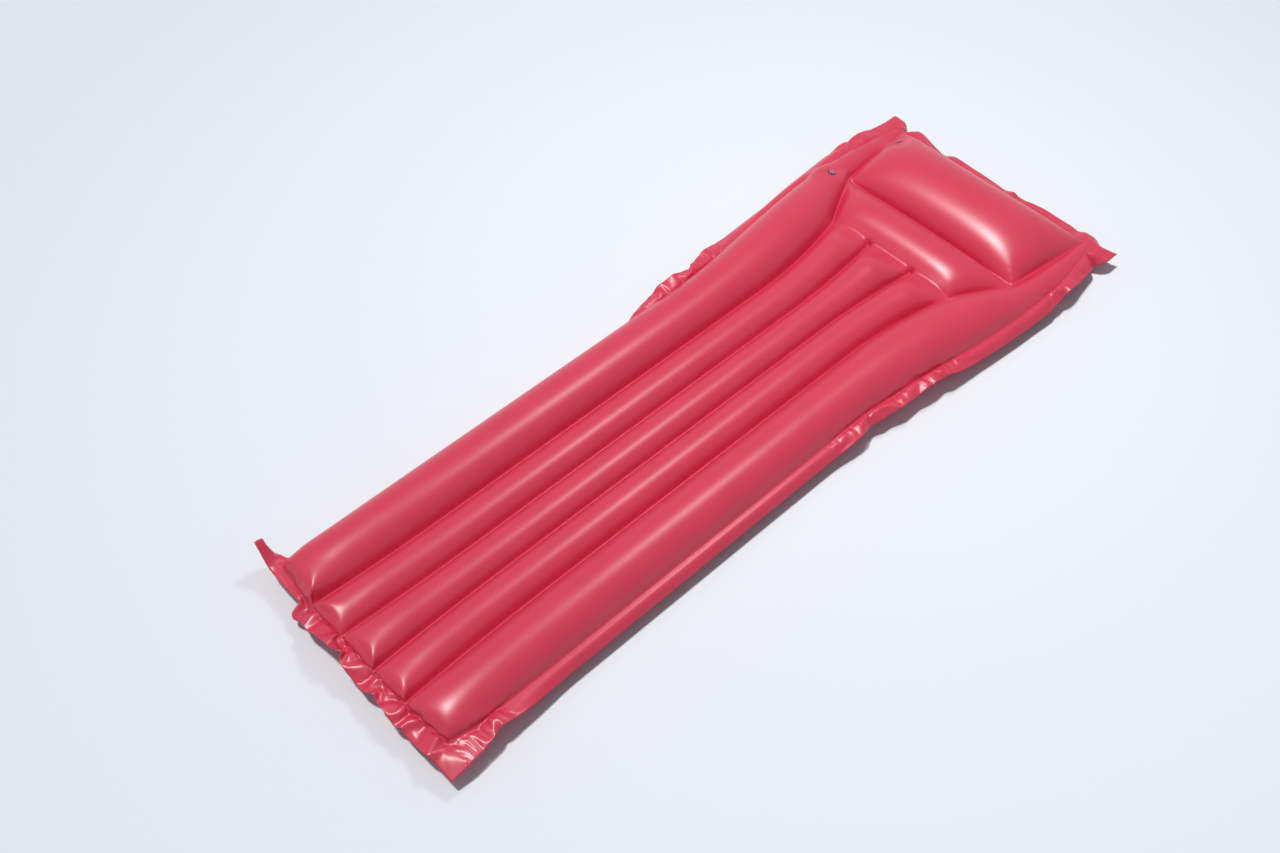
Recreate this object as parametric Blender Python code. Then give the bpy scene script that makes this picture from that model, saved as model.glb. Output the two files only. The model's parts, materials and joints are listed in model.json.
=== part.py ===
# Inflatable pool mattress. Two vinyl sheets are welded together along their edge and
# along inner lines, so that air lifts them into five long tubes, a small lobe and a pillow.
# The tubes and the lobe are one air chamber and the pillow is another. Each has a pinch
# valve: a base welded under the top sheet, a boot, a stem, a cap on a strap and a flap.
#
# All lengths are in metres. A station is a distance from the foot seam towards the head,
# and a reach is a distance from the centre line. The finished part has +X towards the head,
# +Z up, and its origin on the floor under the middle of its box.

import math

import bmesh
import bpy
import numpy as np
from mathutils import Matrix, Vector

# Film and the flats that the mattress lies on
FILM = 0.0003
GAP = 0.0003
REST_CUT = 0.0005

# Outline of the edge seam
LENGTH = 1.702
BODY_REACH = 0.240
PILLOW_REACH = 0.288
HEAD_CORNER_REACH = 0.2605
FOOT_CORNER_REACH = 0.230
FOOT_DRAW_LENGTH = 0.080
FOOT_ROUND = 0.150
FOOT_CORNER_STEP = 0.012
HEAD_BOW = 0.015
BODY_FLARE_LENGTH = 0.540

# Flange outside the edge seam
FLANGE = 0.032
FLANGE_CORNER = 0.042
FLANGE_DROOP = 0.010
FLANGE_RIPPLE = 0.004

# Inner weld lines
PILLOW_DEPTH = 0.215
LOBE_DEPTH = 0.125
OUTER_WELD_REACH = 0.120
OUTER_WELD_FOOT_REACH = 0.129
INNER_WELD_REACH = 0.038
INNER_WELD_FOOT_REACH = 0.045
WELD_FOOT_SPREAD = 0.300
LOBE_OUTER_REACH = 0.156
LOBE_INNER_REACH = 0.056
PILLOW_OUTER_REACH = 0.2225
HEAD_WELD_REACH = 0.247
WELD_FLARE_LENGTH = 0.260
CROSS_BAR = 0.040

# Height of each form above the seam plane, and how soft its edges are
INNER_TUBE_CROWN = 0.0285
SIDE_TUBE_CROWN = 0.0440
LOBE_CROWN = 0.0380
PILLOW_CROWN = 0.0610
TUBE_SOFTNESS = 0.31
LOBE_SOFTNESS = 0.55
BLEND_LENGTH = 0.090

# Fineness of the surfaces
CELL = 0.004
RELAX_STEPS = 400
OVER_RELAX = 1.88
MIDDLE_COLUMNS = 2
INNER_TUBE_ANGLES = (-73, -36, 0, 36, 73)
SIDE_TUBE_ANGLES = (-73, -38, -6, 6, 38, 73)
FOOT_SHARES = (0.0, 0.07, 0.20, 0.45, 1.0)
BODY_STATIONS = 2
FLARE_STATIONS = 4
LOBE_SHARES = (0.34, 0.74, 1.0)
PILLOW_SHARES = (0.12, 0.32, 0.56, 0.84, 1.0)
ROUND_STEPS = 24
SHARP_ANGLE = math.radians(35)
LEAST_COSINE = 0.3
NEAR = 1e-5

# Valve places: distances in from the head seam, and in from the side seam or the outer weld
BODY_VALVE_FROM_HEAD = 0.245
BODY_VALVE_FROM_SEAM = 0.0416
PILLOW_VALVE_FROM_HEAD = 0.055
PILLOW_VALVE_FROM_WELD = 0.0228

# Valve sizes, all turned about the valve's own axis
BASE_RADIUS = 0.0145
BASE_THICKNESS = 0.0008
COLLAR_BORE = 0.0086
COLLAR_WALL = 0.0014
COLLAR_RISE = 0.0002
STEM_BORE = 0.0040
STEM_WALL = 0.0012
STEM_DEPTH = 0.0132
STEM_RISE = 0.0002
STEM_LIP = 0.0010
ROOT_LIP = 0.0014
LIP_THICKNESS = 0.0008
CAP_RADIUS = 0.0066
CAP_THICKNESS = 0.0012
PLUG_LENGTH = 0.0032
PLUG_TAPER = 0.0006
TAB_LENGTH = 0.0026
TAB_WIDTH = 0.0042
STRAP_WIDTH = 0.0030
STRAP_THICKNESS = 0.0006
HINGE_REACH = 0.0082
BOOT_WALL = 0.0005
FLAP_RADIUS = 0.0050
FLAP_THICKNESS = 0.0005
FLAP_TAIL_WIDTH = 0.0030
FLAP_HINGE_REACH = 0.0062
CLEARANCE = 0.0003
FACET_SLACK = 0.0001
PATCH_MARGIN = 0.0012

# Places that follow from the sizes above
PILLOW_WELD = LENGTH - PILLOW_DEPTH
LOBE_START = PILLOW_WELD - LOBE_DEPTH
BODY_FLARE_START = PILLOW_WELD - BODY_FLARE_LENGTH
WELD_FLARE_START = LOBE_START - WELD_FLARE_LENGTH
SEAM_HEIGHT = SIDE_TUBE_CROWN - REST_CUT + GAP / 2 + FILM
STEM_RADIUS = STEM_BORE + STEM_WALL
ROOT_RADIUS = STEM_RADIUS + ROOT_LIP
COLLAR_RADIUS = COLLAR_BORE + COLLAR_WALL
HOLE_RADIUS = COLLAR_RADIUS + CLEARANCE + FACET_SLACK
BASE_TOP = -FILM - CLEARANCE
BASE_UNDERSIDE = BASE_TOP - BASE_THICKNESS
ROOT_UNDERSIDE = -STEM_DEPTH - LIP_THICKNESS
CAP_UNDERSIDE = STEM_RISE + CLEARANCE
FLAP_TOP = ROOT_UNDERSIDE - CLEARANCE

# Finishes: colour, and roughness of the film and of the clear mouldings
VINYL_RED = (0.66, 0.055, 0.10, 1.0)
VINYL_RED_UNDERSIDE = (0.60, 0.045, 0.085, 1.0)
CLEAR_VINYL = (0.80, 0.80, 0.86, 1.0)
CLEAR_VINYL_CAP = (0.74, 0.72, 0.84, 1.0)
FILM_ROUGHNESS = 0.42
CLEAR_ROUGHNESS = 0.25


def clear_scene():
    for thing in list(bpy.data.objects):
        bpy.data.objects.remove(thing, do_unlink=True)


def ease(value):
    value = np.clip(value, 0.0, 1.0)
    return value * value * (3.0 - 2.0 * value)


def share_past(station, start, length):
    """0 up to the start, then growing evenly to 1 over the length."""
    return np.clip((station - start) / length, 0.0, 1.0)


# Outline and weld lines as functions of the station

def side_seam(station):
    wide = BODY_REACH + (PILLOW_REACH - BODY_REACH) * ease((station - BODY_FLARE_START) / BODY_FLARE_LENGTH)
    foot = (BODY_REACH - FOOT_CORNER_REACH) * (1.0 - share_past(station, 0.0, FOOT_DRAW_LENGTH)) ** 2
    head = (PILLOW_REACH - HEAD_CORNER_REACH) * share_past(station, PILLOW_WELD, PILLOW_DEPTH) ** 2
    return wide - foot - head


def foot_seam(reach):
    return FOOT_CORNER_STEP * (abs(reach) / FOOT_CORNER_REACH) ** 4


def head_seam(reach):
    return LENGTH - HEAD_BOW * (1.0 - (abs(reach) / HEAD_CORNER_REACH) ** 2)


def weld_reach(station, foot_reach, body_reach, lobe_reach):
    foot = (foot_reach - body_reach) * (1.0 - share_past(station, 0.0, WELD_FOOT_SPREAD)) ** 2
    flare = (lobe_reach - body_reach) * share_past(station, WELD_FLARE_START, WELD_FLARE_LENGTH) ** 2
    return body_reach + foot + flare


def outer_weld(station):
    body = weld_reach(station, OUTER_WELD_FOOT_REACH, OUTER_WELD_REACH, LOBE_OUTER_REACH)
    lobe = (PILLOW_OUTER_REACH - LOBE_OUTER_REACH) * share_past(station, LOBE_START, LOBE_DEPTH)
    head = (HEAD_WELD_REACH - PILLOW_OUTER_REACH) * share_past(station, PILLOW_WELD, PILLOW_DEPTH)
    return body + lobe + head


def inner_weld(station):
    body = weld_reach(station, INNER_WELD_FOOT_REACH, INNER_WELD_REACH, LOBE_INNER_REACH)
    share = LOBE_INNER_REACH / LOBE_OUTER_REACH
    return np.where(np.asarray(station) > LOBE_START, share * outer_weld(station), body)


# Height of the air-filled forms. The film is treated as a skin under even pressure, held
# down along the seam and the welds, and its heights are then rounded into full tubes.

def relaxed_skin():
    rows = int(math.ceil(LENGTH / CELL)) + 2
    columns = int(math.ceil(PILLOW_REACH / CELL)) + 2
    station, reach = np.meshgrid(np.arange(rows) * CELL, np.arange(columns) * CELL, indexing="ij")
    half = CELL / 2
    free = (reach < side_seam(station) - half) & (station > foot_seam(reach) + half)
    free &= station < head_seam(reach) - half
    free &= abs(reach - outer_weld(station)) > half
    in_body = station < LOBE_START
    free &= ~(in_body & (abs(reach - inner_weld(station)) <= half))
    free &= ~((abs(station - PILLOW_WELD) <= half) & (reach < outer_weld(station)))
    bar = (abs(station - LOBE_START) <= half) & (abs(reach - LOBE_INNER_REACH) < CROSS_BAR / 2)
    free &= ~bar
    skin = np.zeros_like(station)
    parity = (np.add.outer(np.arange(rows), np.arange(columns)) % 2).astype(bool)
    for step in range(RELAX_STEPS):
        for colour in (parity, ~parity):
            padded = np.pad(skin, 1)
            padded[1:-1, 0] = skin[:, 1]
            around = padded[2:, 1:-1] + padded[:-2, 1:-1] + padded[1:-1, 2:] + padded[1:-1, :-2]
            target = (around + CELL * CELL) / 4.0
            update = free & colour
            skin[update] += OVER_RELAX * (target[update] - skin[update])
    return station, reach, skin


def rounded(level, softness):
    level = np.clip(level, 0.0, None)
    return (np.sqrt(level + softness ** 2) - softness) / (math.sqrt(1.0 + softness ** 2) - softness)


def height_field():
    station, reach, skin = relaxed_skin()
    outside = reach > outer_weld(station)
    pillow = ~outside & (station > PILLOW_WELD)
    lobe = ~outside & (station > LOBE_START) & ~pillow
    mid_body = abs(station - (FOOT_ROUND + BODY_FLARE_START) / 2) <= CELL
    tubes = ~outside & mid_body
    side = outside & mid_body
    full_side = rounded(skin / skin[side].max(), TUBE_SOFTNESS) * SIDE_TUBE_CROWN
    full_tube = rounded(skin / skin[tubes].max(), TUBE_SOFTNESS) * INNER_TUBE_CROWN
    full_lobe = rounded(skin / skin[lobe].max(), LOBE_SOFTNESS) * LOBE_CROWN
    full_pillow = rounded(skin / skin[pillow].max(), LOBE_SOFTNESS) * PILLOW_CROWN
    share = ease((station - LOBE_START + BLEND_LENGTH / 2) / BLEND_LENGTH)
    height = (1.0 - share) * full_tube + share * full_lobe
    height = np.where(outside, full_side, height)
    return np.where(pillow, full_pillow, height)


HEIGHTS = height_field()


def height_at(station, reach):
    row, column = max(station / CELL, 0.0), abs(reach) / CELL
    i = min(int(row), HEIGHTS.shape[0] - 2)
    j = min(int(column), HEIGHTS.shape[1] - 2)
    a, b = row - i, column - j
    near = HEIGHTS[i, j] * (1 - b) + HEIGHTS[i, j + 1] * b
    far = HEIGHTS[i + 1, j] * (1 - b) + HEIGHTS[i + 1, j + 1] * b
    return near * (1 - a) + far * a


# Grid of stations and columns that both sheets share

def arc_shares(angles):
    edge = math.sin(math.radians(max(angles)))
    return [0.5 + 0.5 * math.sin(math.radians(angle)) / edge for angle in angles]


def station_list():
    stations = [FOOT_ROUND * share for share in FOOT_SHARES]
    stations += list(np.linspace(FOOT_ROUND, BODY_FLARE_START, BODY_STATIONS + 1)[1:])
    stations += list(np.linspace(BODY_FLARE_START, LOBE_START, FLARE_STATIONS + 1)[1:])
    stations += [LOBE_START + LOBE_DEPTH * share for share in LOBE_SHARES]
    stations += [PILLOW_WELD + PILLOW_DEPTH * share for share in PILLOW_SHARES]
    return stations


def reach_list(station):
    inner, outer, seam = float(inner_weld(station)), float(outer_weld(station)), float(side_seam(station))
    reaches = [inner * step / MIDDLE_COLUMNS for step in range(MIDDLE_COLUMNS)]
    reaches += [inner + (outer - inner) * share for share in arc_shares(INNER_TUBE_ANGLES)]
    reaches += [outer + (seam - outer) * share for share in arc_shares(SIDE_TUBE_ANGLES)[1:]]
    return reaches


def seam_shift(station, reach):
    foot = foot_seam(reach) * max(0.0, 1.0 - station / FOOT_DRAW_LENGTH)
    head = (head_seam(reach) - LENGTH) * max(0.0, 1.0 - (LENGTH - station) / PILLOW_DEPTH)
    return foot + head


def weld_columns():
    outer = MIDDLE_COLUMNS + len(INNER_TUBE_ANGLES) - 1
    seam = outer + len(SIDE_TUBE_ANGLES) - 1
    return MIDDLE_COLUMNS, outer, seam


def surface_grid():
    """Points of the raised film as (station, reach, height), with the flange round them."""
    inner, outer, seam = weld_columns()
    stations = station_list()
    grid = []
    for number, station in enumerate(stations):
        at_end = number in (0, len(stations) - 1)
        row = []
        for column, reach in enumerate(reach_list(station)):
            place = station + seam_shift(station, reach)
            welded = at_end or column in (outer, seam)
            welded |= column == inner and station <= LOBE_START
            welded |= abs(station - PILLOW_WELD) < CELL / 4 and column < outer
            row.append([place, reach, 0.0 if welded else height_at(place, reach)])
        edge = row[-1]
        row.append([edge[0], edge[1] + FLANGE, -FLANGE_DROOP])
        grid.append(row)
    for index, sign in ((0, -1), (-1, 1)):
        border = []
        for column, (place, reach, _) in enumerate(grid[index]):
            drop = -FLANGE_DROOP / 2 + FLANGE_RIPPLE * (-1) ** column
            border.append([place + sign * FLANGE, reach, drop])
        border[-1][0] = grid[index][-1][0] + sign * FLANGE_CORNER
        border[-1][1] = grid[index][-2][1] + FLANGE_CORNER
        if sign < 0:
            grid.insert(0, border)
        else:
            grid.append(border)
    half = np.array(grid)
    mirrored = half[:, :0:-1, :] * np.array([1.0, -1.0, 1.0])
    return np.concatenate([mirrored, half], axis=1)


GRID = surface_grid()
MIDDLE = (GRID[:, :, 0].min() + GRID[:, :, 0].max()) / 2


def film_point(place, reach, height, side):
    """Inner face of the top sheet (side 1) or of the bottom sheet (side -1)."""
    raised = side * max(height, 0.0) + min(height, 0.0)
    level = SEAM_HEIGHT + raised + side * GAP / 2
    if side < 0:
        level = max(level, FILM)
    return Vector((place - MIDDLE, reach, level))


# Sheets

def grid_mesh(side):
    shape = bmesh.new()
    rows, columns = GRID.shape[:2]
    points = [[shape.verts.new(film_point(*GRID[i, j], side)) for j in range(columns)] for i in range(rows)]
    for i in range(rows - 1):
        for j in range(columns - 1):
            corners = [points[i][j], points[i + 1][j], points[i + 1][j + 1], points[i][j + 1]]
            shape.faces.new(corners if side > 0 else corners[::-1])
    bmesh.ops.triangulate(shape, faces=shape.faces[:])
    shape.normal_update()
    return shape


def flatten_patch(shape, frame, half_width):
    """Cut a square round a valve into the film and lay it in the valve's own plane."""
    inverse = frame.inverted()
    for axis in (0, 1):
        for sign in (-1, 1):
            near = [face for face in shape.faces if face_reaches(face, inverse, half_width)]
            direction = frame.to_3x3() @ Vector((sign * (axis == 0), sign * (axis == 1), 0.0))
            place = frame.translation + direction * half_width
            geometry = near + [e for f in near for e in f.edges] + [v for f in near for v in f.verts]
            bmesh.ops.bisect_plane(shape, geom=list(dict.fromkeys(geometry)), dist=NEAR / 10,
                                   plane_co=place, plane_no=direction)
    chosen = []
    for vertex in shape.verts:
        local = inverse @ vertex.co
        if max(abs(local.x), abs(local.y)) <= half_width + NEAR and abs(local.z) < half_width:
            local.z = -FILM
            vertex.co = frame @ local
            chosen.append(vertex)
    inside = [face for face in shape.faces if all(vertex in chosen for vertex in face.verts)]
    bmesh.ops.dissolve_faces(shape, faces=inside, use_verts=True)


def face_reaches(face, inverse, half_width):
    corners = [inverse @ vertex.co for vertex in face.verts]
    if min(abs(corner.z) for corner in corners) > 2 * half_width:
        return False
    low_x, high_x = min(corner.x for corner in corners), max(corner.x for corner in corners)
    low_y, high_y = min(corner.y for corner in corners), max(corner.y for corner in corners)
    return low_x < half_width and high_x > -half_width and low_y < half_width and high_y > -half_width


def thicken(shape, side):
    """Give the film its thickness outwards, and keep its lowest face on the floor."""
    shape.normal_update()
    offsets = {}
    for vertex in shape.verts:
        normal = vertex.normal.copy()
        spread = min(max(normal.dot(face.normal), LEAST_COSINE) for face in vertex.link_faces)
        offsets[vertex] = vertex.co + normal * (FILM / spread)
    copies = {}
    for vertex, place in offsets.items():
        if side < 0:
            on_floor = vertex.co.z <= FILM + NEAR
            place.z = 0.0 if on_floor else max(place.z, 0.0)
        copies[vertex] = shape.verts.new(place)
    faces = shape.faces[:]
    border = [edge for edge in shape.edges if edge.is_boundary]
    for face in faces:
        shape.faces.new([copies[vertex] for vertex in face.verts])
    for edge in border:
        loop = edge.link_loops[0]
        first, second = loop.vert, loop.link_loop_next.vert
        shape.faces.new([first, second, copies[second], copies[first]])
    for face in faces:
        face.normal_flip()


def finished(name, shape, colour, roughness, frame=None):
    mesh = bpy.data.meshes.new(name)
    shape.to_mesh(mesh)
    shape.free()
    mesh.shade_smooth()
    mesh.set_sharp_from_angle(angle=SHARP_ANGLE)
    thing = bpy.data.objects.new(name, mesh)
    bpy.context.collection.objects.link(thing)
    if frame is not None:
        thing.matrix_world = frame
    material = bpy.data.materials.new(name + "_finish")
    material.use_nodes = True
    shader = material.node_tree.nodes["Principled BSDF"]
    shader.inputs["Base Color"].default_value = colour
    shader.inputs["Roughness"].default_value = roughness
    shader.inputs["Metallic"].default_value = 0.0
    mesh.materials.append(material)
    return thing


def cylinder_cutter(name, frame, radius, depth):
    shape = bmesh.new()
    bmesh.ops.create_cone(shape, cap_ends=True, segments=ROUND_STEPS,
                          radius1=radius, radius2=radius, depth=depth)
    mesh = bpy.data.meshes.new(name)
    shape.to_mesh(mesh)
    shape.free()
    cutter = bpy.data.objects.new(name, mesh)
    bpy.context.collection.objects.link(cutter)
    cutter.matrix_world = frame
    cutter.hide_render = True
    cutter.display_type = "WIRE"
    return cutter


def cut_with(thing, cutter):
    cut = thing.modifiers.new("hole", "BOOLEAN")
    cut.operation = "DIFFERENCE"
    cut.solver = "EXACT"
    cut.object = cutter


# Valve frames: +Z out of the film, +X towards the strap, which is on the foot side

def valve_frame(from_head, line, from_line):
    place = LENGTH - from_head
    reach = float(line(place)) - from_line
    step = BASE_RADIUS
    ahead, behind = height_at(place + step, reach), height_at(place - step, reach)
    out, back = height_at(place, reach + step), height_at(place, reach - step)
    normal = Vector(((behind - ahead) / (2 * step), (back - out) / (2 * step), 1.0)).normalized()
    centre = Vector((place - MIDDLE, reach, SEAM_HEIGHT + GAP / 2 + height_at(place, reach)))
    strap = Vector((-1.0, 0.0, 0.0))
    strap = (strap - normal * strap.dot(normal)).normalized()
    across = normal.cross(strap)
    frame = Matrix((strap, across, normal)).transposed().to_4x4()
    frame.translation = centre + normal * FILM
    return frame


# Valve pieces

def turned(profile):
    """Solid turned about +Z from a closed profile of (radius, height), listed anticlockwise."""
    shape = bmesh.new()
    rings = []
    for radius, height in profile:
        if radius < NEAR:
            rings.append([shape.verts.new((0.0, 0.0, height))])
            continue
        ring = []
        for step in range(ROUND_STEPS):
            turn = 2 * math.pi * step / ROUND_STEPS
            ring.append(shape.verts.new((radius * math.cos(turn), radius * math.sin(turn), height)))
        rings.append(ring)
    for ring, following in zip(rings, rings[1:] + rings[:1]):
        if len(ring) == 1 and len(following) == 1:
            continue
        for step in range(ROUND_STEPS):
            after = (step + 1) % ROUND_STEPS
            if len(ring) == 1:
                shape.faces.new([ring[0], following[after], following[step]][::-1])
            elif len(following) == 1:
                shape.faces.new([ring[step], ring[after], following[0]])
            else:
                shape.faces.new([ring[step], ring[after], following[after], following[step]])
    bmesh.ops.recalc_face_normals(shape, faces=shape.faces[:])
    return shape


def ribbon(path, width, thickness):
    """Strip of even thickness along a path in the XZ plane, centred on the path."""
    shape = bmesh.new()
    loops = []
    for number, point in enumerate(path):
        before = Vector(path[max(number - 1, 0)])
        after = Vector(path[min(number + 1, len(path) - 1)])
        along = (after - before).normalized()
        square = Vector((-along[1], along[0])) * thickness / 2
        corners = []
        for side, edge in ((-1, -1), (-1, 1), (1, 1), (1, -1)):
            place = Vector(point) + square * side
            corners.append(shape.verts.new((place[0], edge * width / 2, place[1])))
        loops.append(corners)
    for first, second in zip(loops, loops[1:]):
        for k in range(4):
            after = (k + 1) % 4
            shape.faces.new([first[k], first[after], second[after], second[k]])
    shape.faces.new(loops[0][::-1])
    shape.faces.new(loops[-1])
    bmesh.ops.recalc_face_normals(shape, faces=shape.faces[:])
    return shape


def tabbed_disc(radius, low, high, tab_reach, tab_width, direction):
    """Flat disc with one straight-sided tab, as an extruded outline."""
    half = tab_width / 2
    start = math.asin(half / radius)
    outline = [(tab_reach, -half), (tab_reach, half)]
    for step in range(ROUND_STEPS + 1):
        turn = start + (2 * math.pi - 2 * start) * step / ROUND_STEPS
        outline.append((radius * math.cos(turn), radius * math.sin(turn)))
    shape = bmesh.new()
    floor = [shape.verts.new((direction * x, y, low)) for x, y in outline]
    bottom = shape.faces.new(floor)
    raised = bmesh.ops.extrude_face_region(shape, geom=[bottom])
    top = [item for item in raised["geom"] if isinstance(item, bmesh.types.BMVert)]
    bmesh.ops.translate(shape, verts=top, vec=(0.0, 0.0, high - low))
    bmesh.ops.recalc_face_normals(shape, faces=shape.faces[:])
    return shape


def base_profile():
    return [(COLLAR_BORE, BASE_UNDERSIDE), (BASE_RADIUS, BASE_UNDERSIDE), (BASE_RADIUS, BASE_TOP),
            (COLLAR_RADIUS, BASE_TOP), (COLLAR_RADIUS, COLLAR_RISE), (COLLAR_BORE, COLLAR_RISE)]


def boot_profile():
    top = BASE_UNDERSIDE - CLEARANCE
    low = -STEM_DEPTH - LIP_THICKNESS
    inner = ROOT_RADIUS + CLEARANCE
    return [(inner, low), (inner + BOOT_WALL, low), (COLLAR_RADIUS, top), (COLLAR_RADIUS - BOOT_WALL, top)]


def stem_profile():
    top_lip = STEM_RADIUS + STEM_LIP
    return [(STEM_BORE, ROOT_UNDERSIDE), (ROOT_RADIUS, ROOT_UNDERSIDE), (ROOT_RADIUS, -STEM_DEPTH),
            (STEM_RADIUS, -STEM_DEPTH), (STEM_RADIUS, STEM_RISE - LIP_THICKNESS),
            (top_lip, STEM_RISE - LIP_THICKNESS), (top_lip, STEM_RISE), (STEM_BORE, STEM_RISE)]


def plug_profile():
    wide = STEM_BORE - CLEARANCE
    narrow = wide - PLUG_TAPER
    buried = CAP_UNDERSIDE + CAP_THICKNESS / 2
    return [(0.0, CAP_UNDERSIDE - PLUG_LENGTH), (narrow, CAP_UNDERSIDE - PLUG_LENGTH),
            (wide, CAP_UNDERSIDE), (wide, buried), (0.0, buried)]


def strap_path():
    """From beside the stem's lip, out and up inside the collar, and back to the cap's edge."""
    start = STEM_RADIUS + STEM_LIP + CLEARANCE
    end = CAP_RADIUS + CLEARANCE
    outside = COLLAR_BORE - CLEARANCE - STRAP_THICKNESS / 2
    low = STEM_RISE - LIP_THICKNESS / 2
    high = CAP_UNDERSIDE + CAP_THICKNESS / 2
    bend = (outside - start) / 2
    return [(start, low), (outside - bend, low), (outside, low + bend),
            (outside, high - bend), (outside - bend, high), (end, high)]


def moved(shape, offset):
    bmesh.ops.translate(shape, verts=shape.verts[:], vec=-Vector(offset))
    return shape


def moulding(name, shape, colour, frame):
    return finished(name, shape, colour, CLEAR_ROUGHNESS, frame)


def build_valve(name, frame):
    moulding(name + "_base", turned(base_profile()), CLEAR_VINYL, frame)
    moulding(name + "_boot", turned(boot_profile()), CLEAR_VINYL, frame)
    moulding(name + "_stem", turned(stem_profile()), CLEAR_VINYL, frame)
    moulding(name + "_strap", ribbon(strap_path(), STRAP_WIDTH, STRAP_THICKNESS), CLEAR_VINYL_CAP, frame)

    cap_pivot = (HINGE_REACH, 0.0, CAP_UNDERSIDE + CAP_THICKNESS / 2)
    cap_frame = frame @ Matrix.Translation(cap_pivot)
    tab_reach = CAP_RADIUS + TAB_LENGTH
    disc = tabbed_disc(CAP_RADIUS, CAP_UNDERSIDE, CAP_UNDERSIDE + CAP_THICKNESS, tab_reach, TAB_WIDTH, -1)
    cap = moulding(name + "_cap", moved(disc, cap_pivot), CLEAR_VINYL_CAP, cap_frame)
    stopper = moved(turned(plug_profile()), cap_pivot)
    plug = moulding(name + "_plug_guide", stopper, CLEAR_VINYL_CAP, cap_frame)
    plug.hide_render = True
    plug.display_type = "WIRE"
    join = cap.modifiers.new("plug", "BOOLEAN")
    join.operation = "UNION"
    join.solver = "EXACT"
    join.object = plug

    flap_pivot = (FLAP_HINGE_REACH, 0.0, FLAP_TOP)
    flap_frame = frame @ Matrix.Translation(flap_pivot)
    flap_low = FLAP_TOP - FLAP_THICKNESS
    tongue = tabbed_disc(FLAP_RADIUS, flap_low, FLAP_TOP, FLAP_HINGE_REACH, FLAP_TAIL_WIDTH, 1)
    moulding(name + "_flap", moved(tongue, flap_pivot), CLEAR_VINYL, flap_frame)
    boot_top = frame @ Vector((0.0, 0.0, BASE_UNDERSIDE - CLEARANCE))
    places = {"point": frame.translation, "axis": frame.to_3x3().col[2], "across": frame.to_3x3().col[1],
              "cap hinge": cap_frame.translation, "flap hinge": flap_frame.translation, "boot top": boot_top}
    for what, vector in places.items():
        print(name, what, [round(value, 5) for value in vector])


def build():
    clear_scene()
    frames = {"body_valve": valve_frame(BODY_VALVE_FROM_HEAD, side_seam, BODY_VALVE_FROM_SEAM),
              "pillow_valve": valve_frame(PILLOW_VALVE_FROM_HEAD, outer_weld, PILLOW_VALVE_FROM_WELD)}
    top = grid_mesh(1)
    for frame in frames.values():
        flatten_patch(top, frame, BASE_RADIUS + PATCH_MARGIN)
    thicken(top, 1)
    sheet = finished("top_sheet", top, VINYL_RED, FILM_ROUGHNESS)
    for name, frame in frames.items():
        cut_with(sheet, cylinder_cutter(name + "_hole_guide", frame, HOLE_RADIUS, BASE_RADIUS))
        build_valve(name, frame)
    bottom = grid_mesh(-1)
    thicken(bottom, -1)
    finished("bottom_sheet", bottom, VINYL_RED_UNDERSIDE, FILM_ROUGHNESS)


build()
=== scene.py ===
# %% [markdown]
# # A pool air mattress
# The real thing is two flat sheets of red vinyl film, laid on each other and welded along an edge
# seam and a few inner lines. Air between the sheets lifts them into tubes and a pillow. This lesson
# goes the same way: it draws the welds, blows the film up, and then gives it its finish.
# The imported model comes first: the films ride on its mattress, and the valves' pieces sit on it.

import json
import math

import bmesh
import bpy
import numpy as np
from mathutils import Matrix, Vector


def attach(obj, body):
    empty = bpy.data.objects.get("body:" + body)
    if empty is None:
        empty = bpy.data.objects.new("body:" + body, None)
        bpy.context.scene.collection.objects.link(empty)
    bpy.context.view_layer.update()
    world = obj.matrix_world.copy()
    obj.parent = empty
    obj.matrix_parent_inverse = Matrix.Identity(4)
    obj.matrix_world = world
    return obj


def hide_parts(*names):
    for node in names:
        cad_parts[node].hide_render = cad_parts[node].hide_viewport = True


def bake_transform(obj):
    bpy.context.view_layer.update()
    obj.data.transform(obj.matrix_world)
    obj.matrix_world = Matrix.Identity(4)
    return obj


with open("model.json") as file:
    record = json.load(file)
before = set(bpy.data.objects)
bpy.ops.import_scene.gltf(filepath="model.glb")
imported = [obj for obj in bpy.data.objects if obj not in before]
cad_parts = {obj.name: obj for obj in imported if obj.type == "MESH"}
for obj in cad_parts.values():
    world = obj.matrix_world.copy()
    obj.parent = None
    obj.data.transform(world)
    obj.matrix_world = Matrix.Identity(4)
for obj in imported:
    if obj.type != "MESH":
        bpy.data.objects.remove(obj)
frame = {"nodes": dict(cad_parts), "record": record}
for leftover in ("Cube", "Light", "Camera"):
    if leftover in bpy.data.objects:
        bpy.data.objects.remove(bpy.data.objects[leftover])
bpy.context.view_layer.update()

# %% [markdown]
# ## The camera
# The photograph looks down on the mattress from beside its foot end. A lens of about 40 mm on a
# full-frame sensor gives the same narrowing towards the head, so the camera is set by those values.

# %% Place the camera
LENS_MM = 40.6
CAMERA_PLACE = (-1.354, -1.213, 2.151)
CAMERA_TILT = 39.13
CAMERA_TURN = -43.45
SENSOR_WIDTH = 36.0


def add_object(name, data):
    piece = bpy.data.objects.new(name, data)
    bpy.context.scene.collection.objects.link(piece)
    return piece


camera = add_object("photo_camera", bpy.data.cameras.new("photo_camera"))
camera.data.lens = LENS_MM
camera.data.sensor_width = SENSOR_WIDTH
camera.data.sensor_fit = "HORIZONTAL"
camera.location = CAMERA_PLACE
camera.rotation_euler = (math.radians(CAMERA_TILT), 0.0, math.radians(CAMERA_TURN))
bpy.context.scene.camera = camera
print("camera at", CAMERA_PLACE)

# %% [markdown]
# ## Where the welds run
# Each weld is a line across or along the mattress. A station is a distance from the foot seam
# towards the head, and a reach is a distance from the centre line. The side seam and the welds are
# short formulas of the station, so one value moves a whole line and the grid follows it.

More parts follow.
